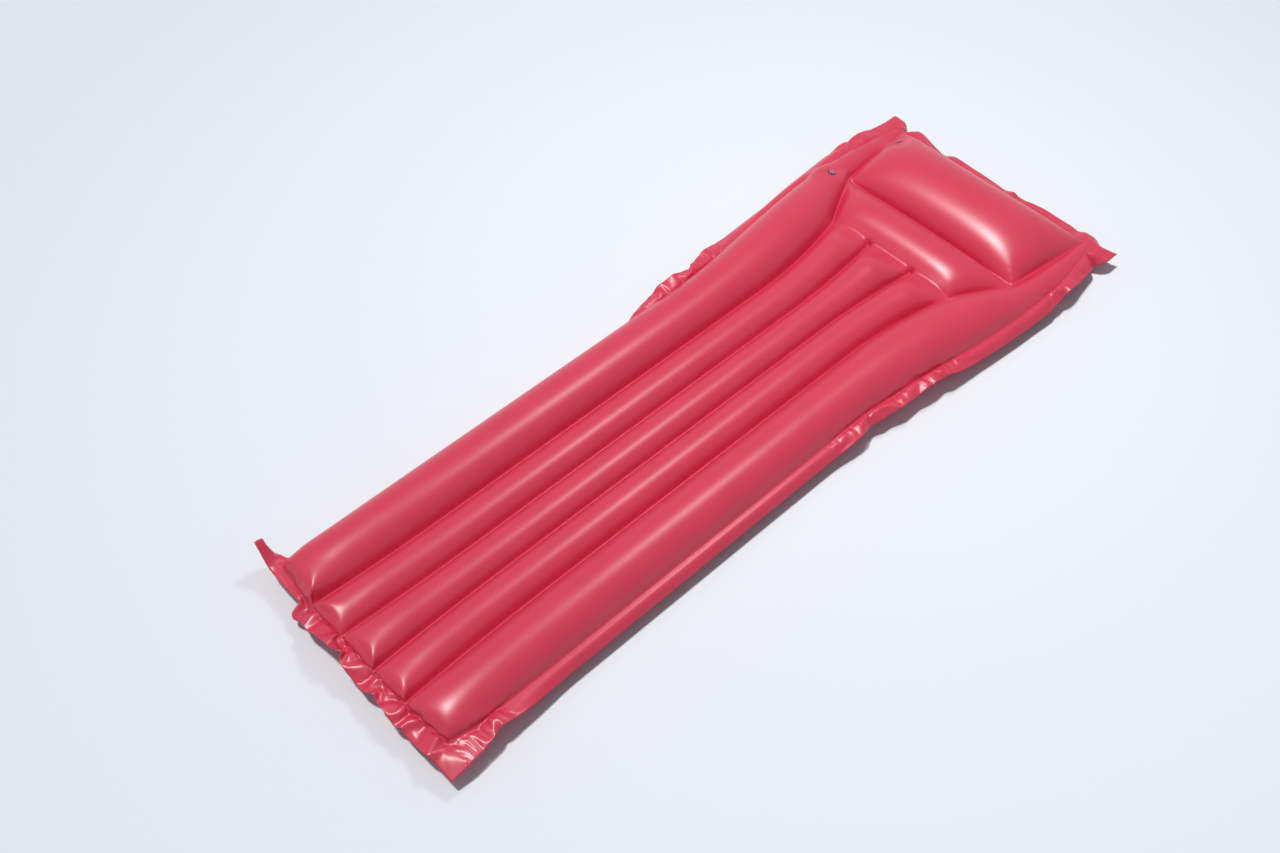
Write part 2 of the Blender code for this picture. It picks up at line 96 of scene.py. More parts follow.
# %% Sizes of the outline and the welds
FILM = 0.0003
LENGTH = 1.702
BODY_REACH = 0.240
PILLOW_REACH = 0.288
HEAD_CORNER_REACH = 0.2605
FOOT_CORNER_REACH = 0.230
FOOT_DRAW_LENGTH = 0.080
FOOT_CORNER_STEP = 0.012
HEAD_BOW = 0.015
BODY_FLARE_LENGTH = 0.540
PILLOW_DEPTH = 0.215
LOBE_DEPTH = 0.125
OUTER_WELD_REACH, OUTER_WELD_FOOT_REACH = 0.120, 0.129
INNER_WELD_REACH, INNER_WELD_FOOT_REACH = 0.038, 0.045
WELD_FOOT_SPREAD = 0.300
LOBE_OUTER_REACH, LOBE_INNER_REACH = 0.156, 0.056
PILLOW_OUTER_REACH, HEAD_WELD_REACH = 0.2225, 0.247
WELD_FLARE_LENGTH = 0.260
CROSS_BAR = 0.040
FLANGE = 0.032
SEAM_BAND = 0.005
WELD_BAND = 0.003
PILLOW_WELD = LENGTH - PILLOW_DEPTH
LOBE_START = PILLOW_WELD - LOBE_DEPTH


def share_past(station, start, length):
    """0 up to the start, then growing evenly to 1 over the length."""
    return np.clip((station - start) / length, 0.0, 1.0)


def ease(value):
    value = np.clip(value, 0.0, 1.0)
    return value * value * (3.0 - 2.0 * value)


def side_seam(station):
    flare = ease((station - PILLOW_WELD + BODY_FLARE_LENGTH) / BODY_FLARE_LENGTH)
    foot = (BODY_REACH - FOOT_CORNER_REACH) * (1.0 - share_past(station, 0.0, FOOT_DRAW_LENGTH)) ** 2
    head = (PILLOW_REACH - HEAD_CORNER_REACH) * share_past(station, PILLOW_WELD, PILLOW_DEPTH) ** 2
    return BODY_REACH + (PILLOW_REACH - BODY_REACH) * flare - foot - head


def body_weld(station, foot_reach, body_reach, lobe_reach):
    foot = (foot_reach - body_reach) * (1.0 - share_past(station, 0.0, WELD_FOOT_SPREAD)) ** 2
    flare = share_past(station, LOBE_START - WELD_FLARE_LENGTH, WELD_FLARE_LENGTH) ** 2
    return body_reach + foot + (lobe_reach - body_reach) * flare


def outer_weld(station):
    body = body_weld(station, OUTER_WELD_FOOT_REACH, OUTER_WELD_REACH, LOBE_OUTER_REACH)
    lobe = (PILLOW_OUTER_REACH - LOBE_OUTER_REACH) * share_past(station, LOBE_START, LOBE_DEPTH)
    head = (HEAD_WELD_REACH - PILLOW_OUTER_REACH) * share_past(station, PILLOW_WELD, PILLOW_DEPTH)
    return body + lobe + head


def inner_weld(station):
    body = body_weld(station, INNER_WELD_FOOT_REACH, INNER_WELD_REACH, LOBE_INNER_REACH)
    beyond = outer_weld(station) * LOBE_INNER_REACH / LOBE_OUTER_REACH
    return np.where(station > LOBE_START, beyond, body)


print("pillow weld at", round(PILLOW_WELD, 3), "and cross bars at", round(LOBE_START, 3))

# %% [markdown]
# ## A grid whose lines lie on the welds
# A film that is held along lines needs vertices on those lines, or the valleys come out jagged. So
# the sheet is a grid of rows and columns between named stops, and every weld is a stop. The cells
# are small where the film crinkles, at the foot, along the flare and round the pillow, and long on
# the straight tubes, where nothing happens.

# %% Rows and columns of the grid
ARC_EDGE = math.radians(73)
END_EDGE = math.radians(62)


def straight(share):
    return share


def half_arc(share):
    """Even steps along a quarter of a tube, seen from above: wide at the crown, close at the weld."""
    return np.sin(ARC_EDGE * share) / math.sin(ARC_EDGE)


def full_arc(share):
    return 0.5 + 0.5 * np.sin(ARC_EDGE * (2.0 * share - 1.0)) / math.sin(ARC_EDGE)


def rising_arc(share):
    return 1.0 - np.sin(END_EDGE * (1.0 - share)) / math.sin(END_EDGE)


def falling_arc(share):
    return np.sin(END_EDGE * share) / math.sin(END_EDGE)


FOOT_END, FOOT_CRINKLES, FLARE_CRINKLES = 0.060, 0.150, 0.900
CORNER_SPREAD, CORNER_LENGTH = 0.022, 0.090
BAR_EDGE = 0.006
# The right foot margin is cut straighter, and the left head corner is narrower than the others
RIGHT_CUT, NARROW_SHARE = 0.5, 0.2
# Each row interval: its length, its number of cells, and how they are spaced
ROW_INTERVALS = [
    (FLANGE - SEAM_BAND, 7, straight),
    (SEAM_BAND, 1, straight),
    (FOOT_END, 18, rising_arc),
    (FOOT_CRINKLES - FOOT_END, 20, straight),
    (FLARE_CRINKLES - FOOT_CRINKLES, 60, straight),
    (LOBE_START - FLARE_CRINKLES - WELD_BAND / 2 - BAR_EDGE, 106, straight),
    (BAR_EDGE, 3, straight),
    (WELD_BAND, 1, straight),
    (BAR_EDGE, 3, straight),
    (LOBE_DEPTH - WELD_BAND - BAR_EDGE, 22, falling_arc),
    (WELD_BAND, 1, straight),
    (PILLOW_DEPTH - WELD_BAND / 2, 48, full_arc),
    (SEAM_BAND, 1, straight),
    (FLANGE - SEAM_BAND, 7, straight),
]


def rows_of(intervals, start):
    """Place of each row on the mattress, and the row of each stop."""
    places, stops = [start], [0]
    for length, cells, way in intervals:
        share = np.arange(1, cells + 1) / cells
        places += list(places[-1] + length * way(share))
        stops.append(stops[-1] + cells)
    return np.array(places), stops


row_place, row_stop = rows_of(ROW_INTERVALS, -FLANGE)
FOOT_SEAM_ROW, HEAD_SEAM_ROW = row_stop[2], row_stop[12]
BAR_ROWS = (row_stop[7], row_stop[8])
PILLOW_WELD_ROWS = (row_stop[10], row_stop[11])

COLUMN_CELLS = (8, 1, 12, 1, 20, 1, 7)
COLUMN_WAYS = (half_arc, straight, full_arc, straight, full_arc, straight, straight)
column_stop = np.concatenate([[0], np.cumsum(COLUMN_CELLS)])
INNER_COLUMNS, OUTER_COLUMNS = (column_stop[1], column_stop[2]), (column_stop[3], column_stop[4])
SEAM_COLUMN, BAND_COLUMN = column_stop[5], column_stop[6]
HALF_COLUMNS = column_stop[-1]


def half_reaches(station):
    """Reach of every column of one half, for an array of stations."""
    inner, outer, seam = inner_weld(station), outer_weld(station), side_seam(station)
    half = WELD_BAND / 2
    edges = [0.0 * station, inner - half, inner + half, outer - half, outer + half, seam,
             seam + SEAM_BAND, seam + FLANGE]
    columns = [edges[0]]
    for low, high, cells, way in zip(edges, edges[1:], COLUMN_CELLS, COLUMN_WAYS):
        columns += [low + (high - low) * way((step + 1) / cells) for step in range(cells)]
    return np.stack(columns, axis=1)


half = half_reaches(np.clip(row_place, 0.0, LENGTH))
reach = np.concatenate([-half[:, :0:-1], half], axis=1)
ROWS, COLUMNS = reach.shape
column = abs(np.arange(COLUMNS) - HALF_COLUMNS)[None, :].repeat(ROWS, axis=0)
row = np.arange(ROWS)[:, None].repeat(COLUMNS, axis=1)

foot_bow = FOOT_CORNER_STEP * (np.minimum(abs(reach), FOOT_CORNER_REACH) / FOOT_CORNER_REACH) ** 4
head_bow = -HEAD_BOW * (1.0 - (np.minimum(abs(reach), HEAD_CORNER_REACH) / HEAD_CORNER_REACH) ** 2)
foot_bow *= 1.0 - RIGHT_CUT * (reach < 0.0) * np.clip(-row_place / FLANGE, 0.0, 1.0)[:, None]
station = row_place[:, None] + foot_bow * (1.0 - share_past(row_place, 0.0, FOOT_DRAW_LENGTH))[:, None]
station += head_bow * share_past(row_place, PILLOW_WELD, PILLOW_DEPTH)[:, None]
beyond_side = abs(reach) - side_seam(np.clip(row_place, 0.0, LENGTH))[:, None]
beyond_end = np.maximum(-row_place, row_place - LENGTH)[:, None]
from_end = np.clip(-beyond_end, 0.0, None)
corner = np.clip(beyond_side / FLANGE, 0.0, 1.0) * (1.0 - share_past(from_end, 0.0, CORNER_LENGTH)) ** 2
narrow_corner = (reach > 0.0) & (row_place[:, None] > LENGTH / 2)
reach += np.sign(reach) * np.where(narrow_corner, NARROW_SHARE, 1.0) * CORNER_SPREAD * corner
print("grid of", ROWS, "rows and", COLUMNS, "columns")

# %% [markdown]
# ## Which points are welded
# The two sheets share a point wherever they are fused: along the edge seam and the flange outside
# it, on the long weld lines, on the weld before the pillow, and at a small pit where each inner line
# ends. A shallow crease crosses every pit, which is all that the photograph shows of the cross bars.

# %% Mark the welded points
in_body = row <= BAR_ROWS[1]
welded = (column >= SEAM_COLUMN) | (row <= FOOT_SEAM_ROW) | (row >= HEAD_SEAM_ROW)
welded |= (column >= OUTER_COLUMNS[0]) & (column <= OUTER_COLUMNS[1])
welded |= in_body & (column >= INNER_COLUMNS[0]) & (column <= INNER_COLUMNS[1])
welded |= (row >= PILLOW_WELD_ROWS[0]) & (row <= PILLOW_WELD_ROWS[1]) & (column <= OUTER_COLUMNS[0])
PIT_REACH = 0.0035
from_inner = abs(abs(reach) - LOBE_INNER_REACH)
bar_reach = from_inner <= CROSS_BAR / 2
pit = (row >= BAR_ROWS[0]) & (row <= BAR_ROWS[1]) & (from_inner <= PIT_REACH)
welded |= pit
on_flange = (column > SEAM_COLUMN) | (row < FOOT_SEAM_ROW) | (row > HEAD_SEAM_ROW)
print("welded points:", int(welded.sum()), "of", welded.size)

# %% [markdown]
# ## How high the air lifts the film
# A skin under even pressure, held at its edges, takes the shape that solves Poisson's equation. The
# grid is treated as small triangles, the equation is solved by conjugate gradients, and the heights
# are then rounded, because a full tube is nearer to a circle than to a parabola. The foot ends of
# the tubes are the fullest, so they get the roundest edges. Towards the lobe the tubes sink to a
# crease, whose line and pits are pressed in last, when the heights around it have been evened out.

# %% Solve the pressed skin and round it
SIDE_TUBE_CROWN = 0.0440
INNER_TUBE_CROWN = 0.0285
LOBE_CROWN = 0.0410
PILLOW_CROWN = 0.0610
TUBE_SOFTNESS, LOBE_SOFTNESS, PILLOW_SOFTNESS, END_SOFTNESS = 0.31, 0.20, 0.12, 0.10
SIDE_FULLNESS, INNER_FULLNESS = 0.66, 0.80
CREASE_FLOOR, CREASE_RISE = 0.0135, 0.036
CREASE_TUBE_LENGTH, CREASE_LOBE_LENGTH = 0.080, 0.012
# How deep the crease between the lobe and the tubes is, by the distance from an inner weld
CREASE_PLACES, CREASE_DEPTHS = (0.0, 0.008, 0.020, 0.030), (0.35, 0.13, 0.10, 0.04)
CREASE_WIDTH, PIT_WIDTH = 0.0022, 0.0036
SOFTENED_LENGTH, SOFTENING_ROUNDS, SOFTENING_SHARE = 0.080, 6, 0.6
FOOT_ZONE_START, FOOT_ZONE_RISE = 0.012, 0.020
CREASE_ZONE_BEFORE, CREASE_ZONE_LENGTH = 0.012, 0.030
END_LENGTH = 0.130
SOLVER_STEPS, SOLVED = 900, 1e-16


def grid_faces(rows, columns):
    first = (np.arange(rows - 1)[:, None] * columns + np.arange(columns - 1)[None, :]).ravel()
    return np.stack([first, first + columns, first + columns + 1, first + 1], axis=1)


def pressed_skin(points, quads, held):
    """Height of a skin of unit tension under unit pressure, zero at the held points."""
    triangles = np.concatenate([quads[:, [0, 1, 2]], quads[:, [0, 2, 3]]])
    count = len(points)
    ends, weights, load = [], [], np.zeros(count)
    for k in range(3):
        i, j, far = triangles[:, k], triangles[:, (k + 1) % 3], triangles[:, (k + 2) % 3]
        u, v = points[i] - points[far], points[j] - points[far]
        twice = abs(u[:, 0] * v[:, 1] - u[:, 1] * v[:, 0])
        ends.append((i, j))
        weights.append((u * v).sum(1) / twice / 2.0)
        load += np.bincount(far, twice / 6.0, count)
    first = np.concatenate([pair[0] for pair in ends])
    second = np.concatenate([pair[1] for pair in ends])
    weight = np.concatenate(weights)
    middle = np.bincount(first, weight, count) + np.bincount(second, weight, count)
    free = (~held).astype(float)

    def pull(x):
        around = np.bincount(first, weight * x[second], count) + np.bincount(second, weight * x[first], count)
        return free * (middle * x - around)

    height, rest = np.zeros(count), free * load
    step = rest / middle
    old = rest @ step
    for _ in range(SOLVER_STEPS):
        pulled = pull(step)
        amount = old / (step @ pulled)
        height += amount * step
        rest -= amount * pulled
        scaled = rest / middle
        new = rest @ scaled
        if new < SOLVED:
            break
        step = scaled + (new / old) * step
        old = new
    return height


def rounded(level, softness):
    level = np.clip(level, 0.0, None)
    return (np.sqrt(level + softness ** 2) - softness) / (np.sqrt(1.0 + softness ** 2) - softness)


plan = np.stack([station.ravel(), reach.ravel()], axis=1)
quads = grid_faces(ROWS, COLUMNS)
pit_middle = pit & (column != INNER_COLUMNS[0]) & (column != INNER_COLUMNS[1])
across = (row >= BAR_ROWS[0]) & (row <= BAR_ROWS[1]) & (column <= OUTER_COLUMNS[0])
open_skin = pressed_skin(plan, quads, (welded & ~pit_middle).ravel()).reshape(ROWS, COLUMNS)
closed_skin = pressed_skin(plan, quads, (welded | across).ravel()).reshape(ROWS, COLUMNS)
side = column >= OUTER_COLUMNS[1]
pillow = ~side & (row >= PILLOW_WELD_ROWS[1])
lobe = ~side & ~pillow & (row >= BAR_ROWS[1])
mid_row = int(np.argmin(abs(row_place - LENGTH / 3)))
mid_body = abs(row - mid_row) <= 1

past_end = ease(station / END_LENGTH)
softness = END_SOFTNESS + (TUBE_SOFTNESS - END_SOFTNESS) * past_end
inner_full = INNER_FULLNESS + (1.0 - INNER_FULLNESS) * past_end
side_full = SIDE_FULLNESS + (1.0 - SIDE_FULLNESS) * past_end
inner_level = open_skin / open_skin[mid_body & ~side].max()
side_level = open_skin / open_skin[mid_body & side].max()
inner_tubes = rounded(inner_level, softness) ** inner_full * INNER_TUBE_CROWN
side_tubes = rounded(side_level, softness) ** side_full * SIDE_TUBE_CROWN
pillow_dome = rounded(open_skin / open_skin[pillow].max(), PILLOW_SOFTNESS) * PILLOW_CROWN
crease_floor = CREASE_FLOOR * ease((LOBE_OUTER_REACH - abs(reach)) / CREASE_RISE)
to_crease = ease(1.0 - (LOBE_START - station) / CREASE_TUBE_LENGTH)
inner_tubes = inner_tubes + to_crease * (np.minimum(inner_tubes, crease_floor) - inner_tubes)
lobe_dome = rounded(closed_skin / closed_skin[lobe].max(), LOBE_SOFTNESS) * LOBE_CROWN
past_crease = np.clip(station - LOBE_START, 0.0, None)
lobe_floor = crease_floor * np.exp(-(past_crease / CREASE_LOBE_LENGTH) ** 2)
height = np.where(lobe, np.hypot(lobe_dome, lobe_floor), inner_tubes)
height = np.where(side, side_tubes, height)
height = np.where(pillow, pillow_dome, height)


def soften(values, zone, rounds):
    """Even out the heights in a zone, a little in each round, without moving the welds."""
    for _ in range(rounds):
        around = values.copy()
        beside = values[:-2, 1:-1] + values[2:, 1:-1] + values[1:-1, :-2] + values[1:-1, 2:]
        around[1:-1, 1:-1] = beside / 4.0
        values = values + SOFTENING_SHARE * zone * (around - values)
    return values


held = welded & ~pit
foot_zone = ~held * ease((station - FOOT_ZONE_START) / FOOT_ZONE_RISE)
foot_zone = foot_zone * (1.0 - ease((station - SOFTENED_LENGTH / 2) / SOFTENED_LENGTH))
from_zone = abs(station - LOBE_START + CREASE_ZONE_BEFORE)
crease_zone = ~held * ~side * ~pillow * ease(1.0 - from_zone / CREASE_ZONE_LENGTH)
height = soften(height, np.maximum(foot_zone, crease_zone), SOFTENING_ROUNDS)

from_line = abs(station - LOBE_START)
crease = np.interp(from_inner, CREASE_PLACES, CREASE_DEPTHS) * np.exp(-from_line / CREASE_WIDTH)
from_pit = np.hypot(from_line, np.clip(from_inner - PIT_REACH, 0.0, None))
crease = np.maximum(crease, np.exp(-(from_pit / PIT_WIDTH) ** 2)) * (~side & ~pillow)
height = np.where(welded, 0.0, height * (1.0 - crease))
print("crowns, in mm: tube", round(1000 * height[mid_body & ~side].max(), 1),
      "pillow", round(1000 * height[pillow].max(), 1))

# %% [markdown]
# ## Tension ridges
# Where a weld stops, the film is pinched, and a ridge runs from the pinch up into the tube. In the
# photograph these ridges hold the brightest streaks. Each is a soft tapered bump on the height.

# %% Raise a ridge from each pinch
FOOT_OUTER, FOOT_INNER = float(outer_weld(0.0)), float(inner_weld(0.0))
# Each ridge: its pinch, its far end, its height and its width at the far end
RIDGES = [
    ((0.000, FOOT_OUTER), (0.070, 0.180), 0.0125, 0.038),
    ((0.000, FOOT_OUTER), (0.048, 0.060), 0.0095, 0.029),
    ((0.000, -FOOT_INNER), (0.050, -0.001), 0.0082, 0.029),
    ((0.000, -FOOT_OUTER), (0.052, -0.085), 0.0082, 0.029),
    ((0.030, -0.238), (0.180, -0.212), 0.0022, 0.010),
    ((PILLOW_WELD, PILLOW_OUTER_REACH), (1.516, 0.268), 0.0016, 0.003),
    ((PILLOW_WELD, -PILLOW_OUTER_REACH), (1.502, -0.276), 0.0016, 0.003),
    ((PILLOW_WELD, -PILLOW_OUTER_REACH), (1.545, -0.165), 0.0040, 0.010),
    ((LOBE_START, -LOBE_OUTER_REACH), (1.400, -0.125), 0.0022, 0.010),
    ((LOBE_START, LOBE_INNER_REACH), (1.400, 0.030), 0.0014, 0.004),
    ((LOBE_START, -LOBE_INNER_REACH), (1.400, -0.086), 0.0014, 0.004),
]
RIDGE_PINCH, RIDGE_FADE = 0.0015, 0.004
RIDGE_SCALE, RIDGE_SWELL = 1.6, 0.2


def ridge(start, stop, rise, width):
    """Height of a tapered ridge that is narrow at its start and fades out at its stop."""
    run = np.array(stop) - np.array(start)
    length = np.hypot(*run)
    along = ((station - start[0]) * run[0] + (reach - start[1]) * run[1]) / length ** 2
    aside = ((station - start[0]) * run[1] - (reach - start[1]) * run[0]) / length
    along = np.clip(along, 0.0, 1.0)
    spread = RIDGE_PINCH + (width - RIDGE_PINCH) * along
    profile = RIDGE_SCALE * along ** RIDGE_SWELL * (1.0 - along) ** 2
    return rise * profile * np.exp(-(aside / spread) ** 2)


for start, stop, rise, width in RIDGES:
    height = height + ridge(start, stop, rise, width) * np.clip(height / RIDGE_FADE, 0.0, 1.0)
print("ridges:", len(RIDGES))

# %% [markdown]
# ## Where the film is too long for its place
# Flat film can't follow a tube's round end without spare length, and the spare length gathers into
# crinkles along the seam and its flange. Each crinkled stretch is one line here: the side that it is
# on, where it starts and stops, and how much longer the film is than the place it lies in. The foot
# has the most, the head hardly any, and the corners' loose squares none at all.

# %% Measure the slack of every point
SIDE_CRINKLES = [(-1, 0.010, 0.125, 0.10), (1, 0.045, 0.100, 0.06), (-1, 0.900, 1.290, 0.045),
                 (1, 0.880, 1.170, 0.050), (-1, 1.440, 1.660, 0.035), (1, 1.500, 1.690, 0.040)]
FOOT_SLACK, HEAD_SLACK, CORNER_SLACK, MOST_SLACK = 0.17, 0.03, 0.0, 0.30
CRINKLE_EDGE = 0.035
GATHER_DEPTH, GATHER_SHARE = 0.012, 0.25
TONGUE_REACH = 0.165


def stretch_of(place, start, stop, edge):
    """1 between start and stop, easing to 0 over the edge length at both ends."""
    return ease((place - start) / edge) * ease((stop - place) / edge)


past_side = abs(reach) - side_seam(np.clip(station, 0.0, LENGTH))
past_foot, past_head = -row_place[:, None] + 0.0 * reach, row_place[:, None] - LENGTH + 0.0 * reach
side_slack = 0.0 * reach
for way, start, stop, amount in SIDE_CRINKLES:
    side_slack += amount * (reach * way > 0) * stretch_of(station, start, stop, CRINKLE_EDGE)


def gathered(past):
    """Full outside the seam, fading to nothing a short way into the tubes."""
    return ease(1.0 + past / GATHER_DEPTH) * np.where(past < 0.0, GATHER_SHARE, 1.0)


slack = np.maximum(side_slack * gathered(past_side), FOOT_SLACK * gathered(past_foot))
slack = np.maximum(slack, HEAD_SLACK * gathered(past_head))
in_corner = ((beyond_side > 0.0) & (beyond_end > 0.0)) | ((reach > TONGUE_REACH) & (past_foot > 0.0))
slack = np.where(in_corner, CORNER_SLACK, slack)
print("slackest point:", round(float(slack.max()), 3))

# %% [markdown]
# ## How the flange hangs
# The flange is stiff enough to stand out from the seam, and then it bends down under its own weight,
# more in some places than in others. A few pairs of place and angle say how far it turns, and the
# flange is laid out along that curve, so that its width stays what it was cut to.

# %% Turn the flange down
FOOT_TURNS = [(-0.29, 5), (-0.215, 10), (-0.18, 44), (-0.145, 46), (-0.12, 35), (-0.09, 12), (0.045, 18),
              (0.08, 10), (0.127, 30), (0.16, 15), (0.24, 10)]
RIGHT_TURNS = [(0.0, 5), (0.13, 10), (0.22, 50), (0.88, 50), (0.96, 38), (1.25, 38), (1.36, 50), (1.48, 52),
               (1.58, 35), (1.65, 40), (1.678, 75), (1.70, 25)]
LEFT_TURNS = [(0.0, 10), (0.012, 20), (0.032, 80), (0.84, 80), (0.93, 25), (1.15, 25), (1.30, 55), (1.45, 50),
              (1.58, 25), (1.70, 10)]
HEAD_TURNS = [(-0.30, 55), (-0.275, 48), (-0.25, 14), (-0.20, 10), (-0.10, 14), (0.10, 14), (0.19, 12),
              (0.228, 8), (0.248, 80), (0.264, 12), (0.30, 5)]
TURN_START, TURN_LENGTH = 0.006, 0.016
# Past this angle, in radians, the film turns at the seam itself and in a shorter length
STEEP_TURN, STEEP_RANGE, STEEP_SHORTER = 1.0, 0.3, 0.6
PROFILE_STEPS = 64


def turns_at(places, table):
    """Angle of the flange's outer edge below level, in radians, eased between the given places."""
    known, angles = np.array(table).T
    return np.radians(np.interp(places, known, angles))


def hang(distance, turn):
    """How far out and how far down a point lies that is this far along the flange."""
    shares = (np.arange(PROFILE_STEPS) + 0.5) / PROFILE_STEPS
    walked = distance[..., None] * shares
    steep = ease((turn[..., None] - STEEP_TURN) / STEEP_RANGE)
    start, length = TURN_START * (1.0 - steep), TURN_LENGTH * (1.0 - STEEP_SHORTER * steep)
    angle = turn[..., None] * ease((walked - start) / length)
    out, down = np.cos(angle).mean(axis=-1), np.sin(angle).mean(axis=-1)
    return distance * out, distance * down


out_side, out_end = np.clip(beyond_side, 0.0, None), np.clip(beyond_end + 0.0 * reach, 0.0, None)
side_turn = np.where(reach > 0, turns_at(station, LEFT_TURNS), turns_at(station, RIGHT_TURNS))
end_turn = np.where(row < FOOT_SEAM_ROW, turns_at(reach, FOOT_TURNS), turns_at(reach, HEAD_TURNS))
beyond = np.maximum(out_side, out_end)
turn = np.where(out_end > out_side, end_turn, side_turn)
out, down = hang(beyond, turn)
kept = np.where(beyond > 0.0, out / np.maximum(beyond, 1e-9), 1.0)
lie_reach = reach - np.sign(reach) * out_side * (1.0 - kept)
lie_station = station + np.where(row < FOOT_SEAM_ROW, 1.0, -1.0) * out_end * (1.0 - kept)
level = height - down
middle_film = np.stack([lie_station, lie_reach, level], axis=-1)
print("lowest flange edge, in mm:", round(1000 * float(level.min()), 1))

# %% [markdown]
# ## The corner flaps
# At each corner both flanges end in a loose square of film, and at the foot each one lies in its own
# way: the left one stands up as a tongue with its foot edge folded under, and the right one tips
# down a little. A bend runs round a small arc past a straight line, just as film does over a rod.

# %% Bend the corners
# Each bend: a point on its line, its way in plan, its angle in degrees and its radius
UNDER_FOLD = ((-0.0075, 0.230), (-1.0, 0.03), -165, 0.0018)
TONGUE_BEND = ((0.0, 0.238), (-0.15, 1.0), 48, 0.020)
FLAP_BEND = ((-0.004, -0.246), (-0.75, -0.66), -20, 0.020)
TONGUE_STRETCH = 0.016
# Where each one stops along the side, and where it starts along the foot, with its easing length
TONGUE_STOP, FLAP_STOP = (0.010, 0.012), (0.010, 0.03)
TONGUE_START, UNDER_START, FLAP_START = (0.215, 0.02), (0.128, 0.050), (-0.02, 0.02)


def bend(points, hinge, way, angle, radius, share):
    """Bend what lies past a line through the hinge, square to the way, up for a positive angle."""
    way = np.array(way) / np.hypot(*way)
    past = np.clip((points[..., :2] - hinge) @ way, 0.0, None)
    turn = np.maximum(math.radians(abs(angle)) * share, 1e-6)
    in_arc = np.minimum(past / radius, turn)
    straight_part = past - radius * in_arc
    out = radius * np.sin(in_arc) + straight_part * np.cos(turn)
    up = radius * (1.0 - np.cos(in_arc)) + straight_part * np.sin(turn)
    bent = points.copy()
    bent[..., :2] += (out - past)[..., None] * way
    bent[..., 2] += math.copysign(1.0, angle) * up
    return bent


left_foot = np.where(on_flange & (station < LENGTH / 2) & (reach > 0.0), 1.0, 0.0)
right_foot = np.where(on_flange & (station < LENGTH / 2) & (reach < 0.0), 1.0, 0.0)


def ease_from(place, start_and_length):
    start, length = start_and_length
    return ease((place - start) / length)


tongue = left_foot * (1.0 - ease_from(station, TONGUE_STOP))
under = left_foot * ease_from(reach, UNDER_START)
flap = right_foot * ease_from(beyond_side, FLAP_START) * (1.0 - ease_from(station, FLAP_STOP))
middle_film[..., 1] += TONGUE_STRETCH * (tongue * ease(out_side / FLANGE))
middle_film = bend(middle_film, *UNDER_FOLD, under)
middle_film = bend(middle_film, *TONGUE_BEND, tongue * ease_from(reach, TONGUE_START))
middle_film = bend(middle_film, *FLAP_BEND, flap)
corner_heights = [round(1000 * float(middle_film[r, c, 2]), 1) for r in (0, -1) for c in (0, -1)]
print("corner heights, in mm:", corner_heights)

# %% [markdown]
# ## A start for the crinkles
# Film that is too long but perfectly flat has no reason to fold one way rather than the other. A few
# seeded waves, strongest where the slack is, give it that reason.

# %% Seed the waves
WAVE_SEED = 11
SIDE_WAVE_LENGTHS, FOOT_WAVE_LENGTHS = (0.011, 0.026), (0.016, 0.046)
WAVE_HEIGHT, WAVE_GROWTH, FULL_WAVE_SLACK = 0.0042, 0.7, 0.10
WAVE_COUNT, WAVE_SIZES, WAVE_SKEW = 60, (0.3, 1.0), (-0.5, 0.5)

random = np.random.default_rng(WAVE_SEED)


def waves(place, across, lengths):
    """A sum of many small waves along a place, skewed a little across it."""
    total = 0.0 * place
    for _ in range(WAVE_COUNT):
        length = random.uniform(*lengths)
        size = random.uniform(*WAVE_SIZES) * (length / lengths[1])
        total += size * np.sin(2.0 * math.pi * (place + random.uniform(*WAVE_SKEW) * across) / length
                               + random.uniform(0.0, 2.0 * math.pi))
    return total


along_side = waves(station + (reach > 0) * LENGTH, past_side, SIDE_WAVE_LENGTHS)
along_head = waves(reach, past_head, SIDE_WAVE_LENGTHS)
along_foot = waves(reach, past_foot, FOOT_WAVE_LENGTHS)
wave = np.where(past_head > 0.0, along_head, np.where(past_foot > 0.0, along_foot, along_side))
wave /= math.sqrt(WAVE_COUNT)
wave_share = (beyond / FLANGE) ** WAVE_GROWTH * np.clip(slack / FULL_WAVE_SLACK, 0.0, 1.0)
middle_film[..., 2] += WAVE_HEIGHT * wave * wave_share
print("waves, in mm:", round(1000 * float(abs(WAVE_HEIGHT * wave * wave_share).max()), 1))

# %% [markdown]
# ## Blow the mattress up
# Both sheets are one cloth that shares its points along the welds. The Cloth modifier gets a little
# pressure, no gravity, and three groups: how firmly a point is held, where the air presses, and how
# much the film shrinks. A negative least shrinkage makes the film longer, so the slack group turns
# into real spare length, and the crinkles fold by themselves.

# %% Simulate the film as cloth
CLOTH_FRAMES = 22
CLOTH_QUALITY = 6
AIR_PRESSURE, AIR_DAMPING = 5.0, 1.0
FILM_MASS, STRETCH_STIFFNESS, SHEAR_STIFFNESS, BEND_STIFFNESS = 0.3, 15.0, 6.0, 0.25
STRETCH_DAMPING = 5.0
WELD_HOLD, SEAM_HOLD, END_HOLD, FILM_HOLD = 0.80, 0.50, 0.20, 0.40
FLANGE_HOLD, FREE_SLACK = 0.35, 0.04
SLACK_HOLD, FOOT_SLACK_HOLD = 0.12, 0.02
HOLD_DEPTH = 0.028
WEIGHT_STEPS = 40


def weigh(film, name, weights):
    """A vertex group from an array of weights, added in a few even steps."""
    group = film.vertex_groups.new(name=name)
    steps = np.rint(np.clip(weights, 0.0, 1.0) * WEIGHT_STEPS).astype(int)
    for step in range(1, WEIGHT_STEPS + 1):
        members = np.flatnonzero(steps == step)
        if len(members):
            group.add(members.tolist(), step / WEIGHT_STEPS, "REPLACE")


